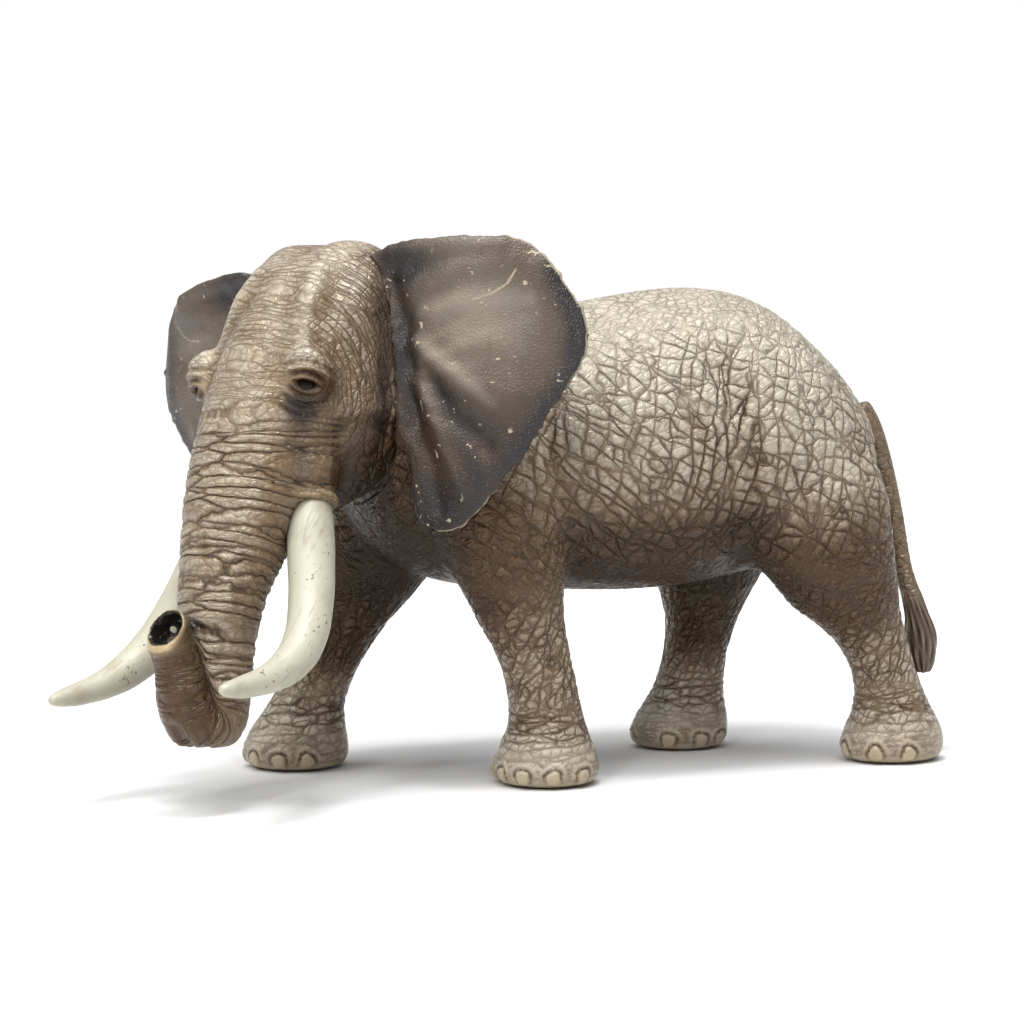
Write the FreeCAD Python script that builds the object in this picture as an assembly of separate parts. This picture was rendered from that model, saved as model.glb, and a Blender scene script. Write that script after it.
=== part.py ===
import FreeCAD, Part
import math
import os
from FreeCAD import Vector

# A walking African elephant bull, about 0.19 m long: a painted vinyl figurine glued up from eight
# mouldings. The body is two hollow half shells with their legs, located by posts on the middle
# plane. The head, with its trunk, plugs into the neck. Ears, tusks and tail plug in with pegs.
# All sizes are millimetres: the elephant faces -Y, its own left is +X, and +Z is up.

# ---------------------------------------------------------------- driving dimensions
WALL = 2.6                      # thickness of the hollow body shells
PEG_CLEARANCE = 0.1             # radial gap between a peg and its socket
SOCKET_EXTRA = 0.6              # how much deeper a socket is than its peg
RING_POINTS = 14                # interpolated points around each cross-section

HEAD_TURN = 32.0                # degrees that the head is turned to its left
HEAD_ROLL = 4.5                 # degrees that the head leans to its right
EYE_CENTRE = Vector(14.0, -77.5, 77.0)      # the point midway between the eyes

NECK_SEAM = Vector(0.0, -42.5, 75.0)        # a point on the glue face between head and body
NECK_NORMAL = Vector(0.0, -0.90, 0.44).normalize()      # that face's normal, into the head
NECK_PEG_RADIUS, NECK_PEG_LENGTH = 9.0, 7.0
PEG_ROOT = 2.0                  # how far a peg starts inside its own part

EAR_FLARE = {1: 72.0, -1: 77.0} # degrees that the left and the right ear stand out from straight back
EAR_ROOT = (-22.5, 17.0)        # forward and sideways place of the ear's root, in the head's frame
EAR_DROOP = {1: 0.0, -1: 9.0}   # degrees that the outer edges of the ears hang lower
EAR_SIZE = {1: 1.0, -1: 0.918}  # size of the left and the right ear over the outline below
EAR_THICK = 1.8
EAR_CUT_REACH = 20.0            # how far the cutter of the ear's outline reaches to each side
EAR_PEG_RADIUS, EAR_PEG_LENGTH, EAR_PEG_HEIGHTS = 0.85, 5.0, (11.0, -4.0)
EAR_PEG_START = 1.2             # how far out of the ear's root its pegs start

TUSK_PEG_RADIUS, TUSK_PEG_LENGTH = 2.2, 6.0
TAIL_PEG_START = Vector(0.0, 58.6, 66.0)    # inside the tail's root; the peg runs forward from it
TAIL_PEG_RADIUS, TAIL_PEG_LENGTH = 1.4, 5.4

POST_RADIUS, POST_PIN_RADIUS, POST_PIN_LENGTH = 3.2, 1.4, 3.0
POST_REACH = 30.0               # longer than any post, which ends in its shell's wall
POST_PLACES = [(-26.0, 74.0), (-20.0, 48.0), (14.0, 84.0), (14.0, 46.0), (38.0, 66.0)]    # (y, z)

# Torso, from chest to rump: y, height of the back, height of the belly, half width.
TORSO = [
    (-53.5, 68.0, 55.0, 5.5),
    (-51.0, 75.5, 48.0, 12.5),
    (-44.0, 83.0, 41.5, 18.0),
    (-32.0, 88.0, 37.5, 22.3),
    (-14.0, 91.0, 36.0, 25.5),
    (4.0, 94.0, 35.3, 26.5),
    (20.0, 94.9, 36.5, 26.0),
    (33.0, 91.5, 39.5, 24.5),
    (44.0, 83.5, 44.0, 21.0),
    (52.0, 74.5, 49.0, 15.0),
    (56.2, 68.0, 54.0, 7.5),
]

# Legs, from the sole up: z, centre x, centre y, half width, half length.
LEG_FRONT_LEFT = [
    (0.0, 18.2, -19.4, 9.6, 10.2), (2.5, 18.2, -19.4, 10.5, 11.0), (6.5, 18.1, -19.4, 9.6, 10.1),
    (11.0, 18.0, -19.4, 7.8, 8.2), (16.0, 17.9, -19.8, 7.0, 7.4), (24.0, 17.6, -21.6, 7.1, 7.6),
    (32.0, 17.2, -24.2, 8.0, 8.8), (40.0, 16.6, -26.4, 9.2, 11.2), (50.0, 15.8, -28.6, 10.3, 13.4),
    (60.0, 14.5, -30.0, 10.6, 14.4), (70.0, 12.0, -31.0, 8.5, 12.0), (76.0, 10.0, -31.0, 5.0, 7.0),
]
LEG_FRONT_RIGHT = [
    (0.0, -18.0, -59.5, 9.6, 10.4), (2.5, -18.0, -59.5, 10.5, 11.2), (6.5, -18.0, -59.3, 9.7, 10.5),
    (11.0, -17.9, -58.0, 7.9, 8.6), (16.0, -17.8, -55.8, 7.1, 7.7), (24.0, -17.5, -51.9, 7.3, 8.2),
    (32.0, -17.1, -47.2, 8.1, 9.8), (40.0, -16.6, -42.8, 9.2, 12.8), (50.0, -15.8, -39.0, 10.2, 14.8),
    (60.0, -14.5, -36.4, 10.4, 15.0), (70.0, -12.0, -34.6, 8.5, 12.5), (76.0, -10.0, -34.0, 5.0, 7.0),
]
LEG_HIND_LEFT = [
    (0.0, 15.0, 56.6, 9.0, 10.6), (2.5, 15.0, 56.6, 9.8, 11.4), (6.5, 15.0, 56.8, 9.0, 10.6),
    (11.0, 15.0, 56.6, 7.3, 8.4), (16.0, 15.0, 55.4, 6.7, 7.2), (22.0, 15.1, 52.9, 6.8, 7.2),
    (28.0, 15.2, 49.0, 7.6, 9.2), (35.0, 15.2, 44.4, 9.4, 12.8), (44.0, 14.8, 40.6, 11.0, 15.6),
    (55.0, 13.5, 38.2, 11.4, 16.6), (66.0, 11.0, 36.0, 9.4, 13.0), (73.0, 9.0, 35.0, 5.5, 7.0),
]
LEG_HIND_RIGHT = [
    (0.0, -15.4, 22.6, 9.0, 10.0), (2.5, -15.4, 22.6, 9.8, 10.8), (6.5, -15.4, 23.0, 9.0, 10.2),
    (11.0, -15.4, 24.2, 7.3, 8.2), (16.0, -15.4, 25.4, 6.7, 7.3), (22.0, -15.3, 26.6, 6.8, 7.2),
    (28.0, -15.2, 27.6, 7.4, 8.4), (35.0, -15.0, 28.6, 9.2, 11.4), (44.0, -14.6, 30.4, 10.8, 15.0),
    (55.0, -13.5, 32.6, 11.2, 16.4), (66.0, -11.0, 33.6, 9.4, 13.0), (73.0, -9.0, 34.0, 5.5, 7.0),
]

# Skull, from the crown down, in the head's frame: height over the eyes, front, back, half width.
SKULL = [
    (27.4, -24.5, -29.5, 3.6),
    (26.5, -20.5, -32.5, 8.2),
    (24.2, -14.6, -35.0, 12.6),
    (19.0, -7.2, -36.4, 15.6),
    (12.5, -2.6, -37.5, 16.8),
    (6.0, 0.4, -38.0, 17.2),
    (-1.0, 1.6, -37.6, 17.2),
    (-8.0, 0.6, -36.0, 16.8),
    (-14.0, -1.6, -32.5, 15.6),
    (-19.0, -4.6, -27.0, 13.4),
    (-23.0, -8.6, -18.0, 7.5),
]
BROW = (-2.8, 12.6, 2.4, 5.2)   # bulge around each eye: forward, sideways, height, radius
# Forehead, face and hanging trunk, from the crown down: height, front, back, half width.
FACE = [
    (25.8, -18.0, -24.0, 3.5),
    (23.0, -11.0, -29.0, 8.0),
    (16.0, -3.8, -27.0, 10.4),
    (8.0, 3.0, -25.0, 11.0),
    (0.0, 7.1, -22.0, 11.8),
    (-10.0, 11.0, -17.5, 12.6),
    (-20.0, 14.4, -10.5, 12.2),
    (-30.0, 17.2, -3.6, 10.3),
    (-40.0, 19.6, 3.4, 8.1),
    (-49.0, 19.6, 6.2, 6.6),
    (-57.0, 20.2, 7.4, 5.9),
    (-62.6, 20.0, 9.0, 4.8),
    (-65.8, 17.4, 12.0, 2.3),
]
# The end of the trunk, which turns forward and up: forward, height, the angle that the trunk
# heads in above straight forward, half depth, half width.
TRUNK_CURL = [
    (13.0, -57.6, -25.0, 4.6, 5.2),
    (18.0, -60.6, 5.0, 5.0, 5.8),
    (22.0, -58.8, 52.0, 4.9, 5.7),
    (23.8, -53.6, 82.0, 4.5, 5.3),
    (24.7, -47.4, 78.0, 4.1, 4.7),
    (26.8, -41.8, 34.0, 4.4, 4.6),
]
NOSTRIL_DEPTH, NOSTRIL_WALL = 4.5, 1.1

# Sheath that holds each tusk: forward, sideways, height, radius. The tusk goes on from its rim.
SHEATH = [(-10.0, 6.4, 2.0, 4.6), (-6.6, 8.4, -8.0, 5.6), (-4.4, 9.6, -16.0, 5.5), (-3.2, 10.4, -22.4, 4.9)]
TUSK = [
    (-3.2, 10.4, -22.4, 4.2), (-0.6, 12.4, -28.0, 4.5), (2.2, 14.6, -34.0, 4.4), (5.8, 17.0, -40.6, 4.2),
    (11.0, 19.4, -47.0, 3.9), (18.6, 20.9, -51.4, 3.2), (26.6, 21.4, -53.2, 2.4), (33.4, 21.5, -53.7, 1.6),
    (35.9, 21.5, -53.8, 0.8),
]

TUSK_TIP_LIFT = {1: 1.6, -1: -0.8}      # how much higher or lower the tips of the two tusks are

# Lower jaw and lip: forward, height of its middle, half height, half width.
JAW = [(-34.0, -8.0, 8.0, 8.5), (-24.0, -14.0, 8.6, 8.8), (-14.0, -20.0, 7.4, 6.4), (-7.0, -25.2, 4.8, 4.2),
       (-3.0, -27.6, 2.4, 2.6)]

# Neck: centre, rise, drop, half width, and the turn of the section.
NECK = [
    (Vector(6.0, -64.0, 78.0), 23.0, 15.0, 12.5, 30.0),
    (Vector(1.5, -54.0, 75.5), 23.5, 19.0, 14.5, 20.0),
    (Vector(0.0, -44.0, 72.0), 22.0, 21.0, 17.0, 8.0),
    (Vector(0.0, -32.0, 70.0), 20.5, 24.0, 19.5, 0.0),
]

# Outline of the ear from its root's top, round the edge: outward, height over the eyes.
EAR_OUTLINE = [
    (-8.0, 22.6), (0.8, 26.0), (11.6, 26.6), (22.5, 26.1), (28.4, 24.4), (33.2, 18.8), (36.2, 14.0),
    (38.5, 6.8), (36.8, 1.0), (30.0, -8.0), (26.2, -13.8), (19.6, -20.8), (14.0, -26.6), (8.0, -28.6),
    (3.6, -27.0), (2.2, -20.5), (0.6, -13.0), (-6.0, -8.0), (-9.5, 6.0),
]
# Bow of the ear's sheet: height over the eyes, how far root, middle and edge stand forward.
EAR_BOW = [
    (-34.0, -0.5, 1.4, 1.0), (-12.0, -0.5, 1.4, -0.8), (8.0, -0.5, 1.8, -2.4), (30.0, -1.5, -0.4, -3.6),
]

# Tail, from its root down: centre, half width, half depth.
TAIL = [
    (Vector(0.0, 55.4, 70.6), 2.8, 2.3), (Vector(0.6, 58.8, 64.0), 2.5, 2.2), (Vector(1.8, 61.2, 55.0), 2.0, 1.9),
    (Vector(3.6, 62.8, 45.0), 1.7, 1.6), (Vector(5.6, 64.0, 36.0), 1.5, 1.5), (Vector(7.4, 65.0, 31.0), 2.0, 2.0),
    (Vector(8.6, 65.8, 25.5), 2.8, 3.1), (Vector(9.0, 66.2, 20.0), 2.7, 3.0), (Vector(9.0, 66.4, 16.6), 1.3, 1.5),
]

ACROSS, UP = Vector(1, 0, 0), Vector(0, 0, 1)


# ---------------------------------------------------------------- the head's frame
def head_axes():
    """Forward, left and up of the turned and leaning head."""
    turn, roll = math.radians(HEAD_TURN), math.radians(HEAD_ROLL)
    forward = Vector(math.sin(turn), -math.cos(turn), 0)
    level_left = Vector(math.cos(turn), math.sin(turn), 0)
    left = level_left * math.cos(roll) + UP * math.sin(roll)
    up = UP * math.cos(roll) - level_left * math.sin(roll)
    return forward, left, up


FORWARD, LEFT, HEAD_UP = head_axes()


def in_head(forward, left, up):
    """A point given in the head's frame, whose origin is midway between the eyes."""
    return EYE_CENTRE + FORWARD * forward + LEFT * left + HEAD_UP * up


# ---------------------------------------------------------------- building blocks
def oval(centre, across, upward, half_width, rise, drop, squareness=1.0):
    """A closed smooth section: half_width to each side, rise above and drop below its centre."""
    points = []
    for i in range(RING_POINTS):
        angle = 2 * math.pi * i / RING_POINTS
        c, s = math.cos(angle), math.sin(angle)
        side = math.copysign(abs(c) ** squareness, c) * half_width
        lift = math.copysign(abs(s) ** squareness, s) * (rise if s > 0 else drop)
        points.append(centre + across * side + upward * lift)
    curve = Part.BSplineCurve()
    curve.interpolate(Points=points, PeriodicFlag=True)
    return Part.Wire([curve.toShape()])


def skin(rings):
    """A solid lofted smoothly through closed sections."""
    solid = Part.makeLoft(rings, True, False)
    return solid if solid.Volume > 0 else solid.reversed()


def cylinder(start, direction, radius, length):
    return Part.makeCylinder(radius, length, start, direction)


def socket(start, direction, radius, length):
    """The room for a peg, with its running gap and a little extra depth."""
    return cylinder(start, direction, radius + PEG_CLEARANCE, length + SOCKET_EXTRA)


def half_space(point, normal, size=400.0):
    """A large box on the side of a plane that its normal points to."""
    box = Part.makeBox(size, size, size, Vector(-size / 2, -size / 2, 0))
    box.Placement = FreeCAD.Placement(point, FreeCAD.Rotation(UP, Vector(normal)))
    return box


def joined(solids):
    """One solid made of all of these."""
    whole = solids[0].multiFuse(solids[1:])
    return largest(whole)


def largest(shape):
    """The biggest solid of a shape, so that no sliver of a cut stays with it."""
    return max(shape.Solids, key=lambda solid: solid.Volume)


# ---------------------------------------------------------------- the outer forms
def torso(inset=0.0):
    """The barrel of the body. An inset shrinks its sections and leaves off the ends: the hollow."""
    sections = TORSO[3:-1] if inset else TORSO
    rings = []
    for y, back, belly, half_width in sections:
        middle = belly + (back - belly) * 0.47
        rings.append(oval(Vector(0, y, middle), ACROSS, UP, half_width - inset,
                          back - middle - inset, middle - belly - inset, 0.92))
    return skin(rings)


def leg(sections):
    rings = []
    for z, x, y, half_width, half_length in sections:
        rings.append(oval(Vector(x, y, z), ACROSS, Vector(0, 1, 0), half_width, half_length, half_length))
    return skin(rings)


def neck():
    rings = []
    for centre, rise, drop, half_width, turn in NECK:
        angle = math.radians(turn)
        across = Vector(math.cos(angle), math.sin(angle), 0)
        rings.append(oval(centre, across, UP, half_width, rise, drop, 0.92))
    return skin(rings)


def upright_form(sections, squareness):
    """Level sections stacked down the head: height, front, back and half width of each."""
    rings = []
    for up, front, back, half_width in sections:
        centre, depth = in_head((front + back) / 2, 0, up), (front - back) / 2
        rings.append(oval(centre, LEFT, FORWARD, half_width, depth, depth, squareness))
    return skin(rings)


def trunk_curl():
    rings = []
    for forward, up, heading, half_depth, half_width in TRUNK_CURL:
        angle = math.radians(heading)
        inside = HEAD_UP * math.cos(angle) - FORWARD * math.sin(angle)
        rings.append(oval(in_head(forward, 0, up), LEFT, inside, half_width, half_depth, half_depth))
    return skin(rings)


def nostrils():
    """The hollow in the end of the trunk."""
    rings = []
    forward, up, heading, half_depth, half_width = TRUNK_CURL[-1]
    angle = math.radians(heading)
    inside = HEAD_UP * math.cos(angle) - FORWARD * math.sin(angle)
    outward = FORWARD * math.cos(angle) + HEAD_UP * math.sin(angle)
    for depth, shrink in [(-1.0, 0.0), (0.0, 0.0), (NOSTRIL_DEPTH, 1.3)]:
        centre = in_head(forward, 0, up) - outward * depth
        narrow, wide = half_depth - NOSTRIL_WALL - shrink, half_width - NOSTRIL_WALL - shrink
        rings.append(oval(centre, LEFT, inside, wide, narrow, narrow))
    return skin(rings)


def jaw():
    rings = []
    for forward, up, half_height, half_width in JAW:
        rings.append(oval(in_head(forward, 0, up), LEFT, HEAD_UP, half_width, half_height, half_height))
    return skin(rings)


def side_path(points, side):
    """Centres of a path in the head's frame, on the left (side 1) or the right (side -1)."""
    lift = TUSK_TIP_LIFT[side] / (len(points) - 1) if points is TUSK else 0.0
    return [in_head(forward, left * side, up + lift * i) for i, (forward, left, up, _) in enumerate(points)]


def tusk_direction(side):
    path = side_path(TUSK, side)
    return (path[1] - path[0]).normalize()


def round_tube(points, side, start=None, end=None):
    """A round tube along a path on one side of the head, with its end directions if they are given."""
    path = side_path(points, side)
    rings = []
    for i, (centre, row) in enumerate(zip(path, points)):
        ahead = (path[min(i + 1, len(path) - 1)] - path[max(i - 1, 0)]).normalize()
        if i == 0 and start is not None:
            ahead = start
        if i == len(path) - 1 and end is not None:
            ahead = end
        across = ahead.cross(FORWARD).normalize()
        rings.append(oval(centre, across, ahead.cross(across).normalize(), row[3], row[3], row[3]))
    return skin(rings)


# ---------------------------------------------------------------- ears, tusks and tail
def ear_frame(side):
    """Root, outward, upward and forward-facing directions of an ear."""
    flare, droop = math.radians(EAR_FLARE[side]), math.radians(EAR_DROOP[side])
    level_out = LEFT * side * math.sin(flare) - FORWARD * math.cos(flare)
    facing = FORWARD * math.sin(flare) + LEFT * side * math.cos(flare)
    outward = level_out * math.cos(droop) - HEAD_UP * math.sin(droop)
    upward = HEAD_UP * math.cos(droop) + level_out * math.sin(droop)
    return in_head(EAR_ROOT[0], EAR_ROOT[1] * side, 0), outward, upward, facing


def ear_sheet(side):
    """A bowed sheet cut to the ear's outline."""
    root, outward, upward, facing = ear_frame(side)

    def place(out, up, ahead):
        return root + outward * out + upward * up + facing * ahead

    sheets = []
    for up, at_root, at_middle, at_edge in EAR_BOW:
        spine = [(-14.0, at_root - 1.0), (0.0, at_root), (15.0, at_middle), (30.0, (at_middle + at_edge) / 2),
                 (44.0, at_edge)]
        front, back = Part.BSplineCurve(), Part.BSplineCurve()
        front.interpolate([place(out, up, ahead + EAR_THICK / 2) for out, ahead in spine])
        back.interpolate([place(out, up, ahead - EAR_THICK / 2) for out, ahead in reversed(spine)])
        tip = Part.LineSegment(front.EndPoint, back.StartPoint)
        base = Part.LineSegment(back.EndPoint, front.StartPoint)
        sheets.append(Part.Wire([front.toShape(), tip.toShape(), back.toShape(), base.toShape()]))
    sheet = Part.makeLoft(sheets, True, False)

    edge = Part.BSplineCurve()
    outline = [place(out * EAR_SIZE[side], up * EAR_SIZE[side], -EAR_CUT_REACH) for out, up in EAR_OUTLINE]
    edge.interpolate(Points=outline, PeriodicFlag=True)
    blank = Part.Face(Part.Wire([edge.toShape()])).extrude(facing * 2 * EAR_CUT_REACH)
    return largest(sheet.common(blank))


def ear_pegs(side, make):
    """The two pegs from the ear's root into the head, or their sockets."""
    root, outward, upward, _ = ear_frame(side)
    inward = LEFT * -side
    return [make(root + outward * EAR_PEG_START + upward * up, inward, EAR_PEG_RADIUS, EAR_PEG_LENGTH)
            for up in EAR_PEG_HEIGHTS]


def tusk_horn(side):
    return round_tube(TUSK, side, start=tusk_direction(side))


def tusk_peg(side, make):
    """The peg from the root of the tusk up into its sheath, or its socket."""
    return make(side_path(TUSK, side)[0], tusk_direction(side) * -1, TUSK_PEG_RADIUS, TUSK_PEG_LENGTH)


def tail_form():
    centres = [row[0] for row in TAIL]
    rings = []
    for i, (centre, half_width, half_depth) in enumerate(TAIL):
        ahead = (centres[min(i + 1, len(centres) - 1)] - centres[max(i - 1, 0)]).normalize()
        across = (ACROSS - ahead * ACROSS.dot(ahead)).normalize()
        rings.append(oval(centre, across, ahead.cross(across).normalize(), half_width, half_depth, half_depth))
    return skin(rings)


# ---------------------------------------------------------------- the eight mouldings
def solid_head():
    """Everything in front of the neck's glue face, with the nostrils and the neck's peg."""
    sheaths = [round_tube(SHEATH, side, end=tusk_direction(side)) for side in (1, -1)]
    brows = [Part.makeSphere(BROW[3], in_head(BROW[0], BROW[1] * side, BROW[2])) for side in (1, -1)]
    forms = [upright_form(SKULL, 0.94), upright_form(FACE, 0.94), trunk_curl(), jaw(), neck()]
    forms += sheaths + brows
    head = largest(joined(forms).common(half_space(NECK_SEAM, NECK_NORMAL)))
    head = largest(head.cut(nostrils()))
    peg = cylinder(NECK_SEAM + NECK_NORMAL * PEG_ROOT, NECK_NORMAL * -1, NECK_PEG_RADIUS,
                   NECK_PEG_LENGTH + PEG_ROOT)
    return joined([head, peg])


def solid_body():
    """Everything behind the neck's glue face, still solid and in one piece."""
    legs = [leg(row) for row in (LEG_FRONT_LEFT, LEG_FRONT_RIGHT, LEG_HIND_LEFT, LEG_HIND_RIGHT)]
    forms = [torso(), neck(), upright_form(SKULL, 0.94), jaw()] + legs
    return largest(joined(forms).common(half_space(NECK_SEAM, NECK_NORMAL * -1)))


def body_half(body, side, sockets):
    """The left or the right half shell, with the posts that hold it to the other half."""
    half = body.cut(torso(WALL)).common(half_space(Vector(0, 0, 0), ACROSS * side))
    posts = [cylinder(Vector(0, y, z), ACROSS * side, POST_RADIUS, POST_REACH).common(torso(WALL / 2))
             for y, z in POST_PLACES]
    half = joined([largest(half)] + posts)
    if side == 1:
        pins = [cylinder(Vector(PEG_ROOT, y, z), ACROSS * -1, POST_PIN_RADIUS, POST_PIN_LENGTH + PEG_ROOT)
                for y, z in POST_PLACES]
        half = joined([half] + pins)
    else:
        holes = [socket(Vector(0, y, z), ACROSS * -1, POST_PIN_RADIUS, POST_PIN_LENGTH)
                 for y, z in POST_PLACES]
        half = half.cut(Part.makeCompound(holes))
    return largest(half.cut(Part.makeCompound(sockets)))


def build():
    """Every moulding by its name."""
    parts = {}
    head, body = solid_head(), solid_body()
    rooms = []
    for side, name in ((1, "left"), (-1, "right")):
        ear = largest(ear_sheet(side).cut(head))
        parts[name + "_ear"] = joined([ear] + ear_pegs(side, cylinder))
        parts[name + "_tusk"] = joined([tusk_horn(side), tusk_peg(side, cylinder)])
        rooms += ear_pegs(side, socket) + [tusk_horn(side), tusk_peg(side, socket)]
    parts["head"] = largest(head.cut(Part.makeCompound(rooms)))

    tail = largest(tail_form().cut(body))
    tail_peg = (TAIL_PEG_START, Vector(0, -1, 0), TAIL_PEG_RADIUS, TAIL_PEG_LENGTH)
    parts["tail"] = joined([tail, cylinder(*tail_peg)])
    neck_peg = (NECK_SEAM, NECK_NORMAL * -1, NECK_PEG_RADIUS, NECK_PEG_LENGTH)
    for side, name in ((1, "body_left_half"), (-1, "body_right_half")):
        parts[name] = body_half(body, side, [socket(*neck_peg), socket(*tail_peg)])
    return parts


def stand_on_origin(parts):
    """Moves the model so that its bounding box stands centred on the origin."""
    box = FreeCAD.BoundBox()
    for solid in parts.values():
        for point in solid.tessellate(0.1)[0]:
            box.add(point)
    shift = Vector(-box.Center.x, -box.Center.y, -box.ZMin)
    for solid in parts.values():
        solid.translate(shift)
    return shift


def main():
    os.makedirs("parts", exist_ok=True)
    parts = build()
    shift = stand_on_origin(parts)
    print("shifted by", [round(value, 3) for value in shift])
    for name, shape in sorted(parts.items()):
        shape.exportStep(f"parts/{name}.step")
        print(f"{name}: {shape.Volume / 1000:.2f} cm3, valid {shape.isValid()}, {len(shape.Solids)} solid")


main()
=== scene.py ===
import logging
import math
from dataclasses import dataclass, field
from enum import Enum

import bmesh
import bpy
import numpy as np
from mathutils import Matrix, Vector


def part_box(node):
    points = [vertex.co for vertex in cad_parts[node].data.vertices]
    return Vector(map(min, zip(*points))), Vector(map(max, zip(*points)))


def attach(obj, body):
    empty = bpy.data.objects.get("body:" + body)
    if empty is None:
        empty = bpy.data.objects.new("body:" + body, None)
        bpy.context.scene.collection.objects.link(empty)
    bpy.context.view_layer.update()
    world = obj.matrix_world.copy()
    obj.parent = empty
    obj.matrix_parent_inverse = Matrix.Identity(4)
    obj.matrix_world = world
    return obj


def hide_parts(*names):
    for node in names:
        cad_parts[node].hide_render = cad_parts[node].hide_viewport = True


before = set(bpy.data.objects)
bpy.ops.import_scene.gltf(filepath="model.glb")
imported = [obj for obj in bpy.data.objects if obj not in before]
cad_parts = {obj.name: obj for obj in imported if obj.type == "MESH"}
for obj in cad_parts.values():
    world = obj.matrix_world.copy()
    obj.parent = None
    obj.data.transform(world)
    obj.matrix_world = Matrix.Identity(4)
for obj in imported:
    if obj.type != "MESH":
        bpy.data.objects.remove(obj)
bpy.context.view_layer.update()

logging.basicConfig(level=logging.INFO, format="%(message)s")
log = logging.getLogger("elephant")

Array = np.ndarray
Triple = tuple[float, float, float]
MM = 1000.0
BODY = "root"


# ------------------------------------------------------------------ fields over many points
def ease(value: Array, low: float, high: float) -> Array:
    """Rises smoothly from 0 at low to 1 at high: 3t^2 - 2t^3 of the clipped share t.

    Args:
        value: the numbers to judge.
        low: where the result is 0.
        high: where the result is 1; it may be less than low.

    Returns:
        The eased share of each number.
    """
    share = np.clip((value - low) / (high - low), 0.0, 1.0)
    return share * share * (3.0 - 2.0 * share)


def mound(points: Array, centre: Triple, reach: Triple) -> Array:
    """A soft hill: exp of minus the squared distance from its centre, each axis over its reach."""
    offset = (points - np.array(centre)) / np.array(reach)
    return np.exp(-(offset**2).sum(axis=1))


def along_path(points: Array, path: list[Triple], girths: Array | None = None) -> tuple[Array, Array]:
    """Finds how far points are from a bent line, and how far along it.

    Each straight piece gives the nearest point on it, and the nearest of all pieces is kept, with
    distances counted over the piece's girth where girths are given.

    Args:
        points: N places.
        path: the bent line's corners.
        girths: the thickness of the form around each straight piece.

    Returns:
        The distance to the line, and the length along the line at its nearest point.
    """
    girths = np.ones(len(path) - 1) if girths is None else girths
    best = np.full(len(points), 1e9)
    found = np.zeros(len(points))
    travelled = np.zeros(len(points))
    start_length = 0.0
    for start, end, girth in zip(np.array(path[:-1]), np.array(path[1:]), girths):
        step = end - start
        length = float(np.linalg.norm(step))
        share = np.clip((points - start) @ step / length**2, 0.0, 1.0)
        gap = np.linalg.norm(points - start - share[:, None] * step, axis=1)
        nearer = gap / girth < best
        best = np.where(nearer, gap / girth, best)
        found = np.where(nearer, gap, found)
        travelled = np.where(nearer, start_length + share * length, travelled)
        start_length += length
    return found, travelled


def evened_length(points: Array, path: list[Triple], girths: Array, firmness: float = 7.0) -> Array:
    """The length along a bent line, without jumps where its pieces meet.

    Each piece offers the length at its nearest point, and they are averaged with the weight exp of
    minus firmness times (distance over girth) squared, counted from the nearest piece.

    Args:
        points: N places.
        path: the bent line's corners.
        girths: the thickness of the form around each straight piece.
        firmness: how strongly the nearest piece prevails.

    Returns:
        The length at each point.
    """
    corners = np.array(path, float)
    steps = np.diff(corners, axis=0)
    lengths = np.linalg.norm(steps, axis=1)
    starts = np.concatenate([[0.0], np.cumsum(lengths)[:-1]])
    shares = np.clip(((points[:, None] - corners[:-1]) * steps).sum(axis=2) / lengths**2, 0.0, 1.0)
    gaps = np.linalg.norm(points[:, None] - corners[:-1] - shares[..., None] * steps, axis=2) / girths
    weights = np.exp(-firmness * (gaps**2 - gaps.min(axis=1, keepdims=True) ** 2))
    return (weights * (starts + shares * lengths)).sum(axis=1) / weights.sum(axis=1)


def fold(points: Array, path: list[Triple], width: float) -> Array:
    """A soft ridge along a bent line: exp of minus (distance over width) squared."""
    return np.exp(-((along_path(points, path)[0] / width) ** 2))


# ------------------------------------------------------------------ where things are
@dataclass(frozen=True)
class Stance:
    """The maker's own frame, in millimetres: x = 0 on the body's middle plane, z = 0 on the floor.

    Its axes are the row's axes, so only a shift lies between the two.
    """

    rear_heel: float = 68.05        # how far behind the maker's origin the hind left heel ends

    def shift(self) -> Array:
        """The maker's origin in the row's frame, in millimetres."""
        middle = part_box("body_right_half")[1][0] * MM
        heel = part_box("body_left_half")[1][1] * MM
        return np.array([middle, heel - self.rear_heel, 0.0])

    def to_row(self, points: Array) -> Array:
        """Turns the maker's millimetres into the row's metres."""
        return (points + self.shift()) / MM

    def from_row(self, points: Array) -> Array:
        """Turns the row's metres into the maker's millimetres."""
        return points * MM - self.shift()


STANCE = Stance()


@dataclass(frozen=True)
class HeadFrame:
    """The turned head's own axes: forward, left and up from the point midway between the eyes."""

    turn: float = 32.0
    roll: float = 4.5
    eyes: Triple = (14.0, -77.5, 77.0)

    def axes(self) -> Array:
        """Rows: forward, left and up."""
        turn, roll = math.radians(self.turn), math.radians(self.roll)
        forward = np.array([math.sin(turn), -math.cos(turn), 0.0])
        level = np.array([math.cos(turn), math.sin(turn), 0.0])
        up = np.array([0.0, 0.0, 1.0])
        left = level * math.cos(roll) + up * math.sin(roll)
        return np.array([forward, left, up * math.cos(roll) - level * math.sin(roll)])

    def inside(self, points: Array) -> Array:
        """The maker's places given in the head's frame."""
        return (points - np.array(self.eyes)) @ self.axes().T

    def outside(self, points: Array) -> Array:
        """The head's places given in the maker's frame."""
        return points @ self.axes() + np.array(self.eyes)


HEAD = HeadFrame()
NECK_SEAM = np.array([0.0, -42.5, 75.0])
NECK_NORMAL = np.array([0.0, -0.90, 0.44]) / np.linalg.norm([0.0, -0.90, 0.44])


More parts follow.
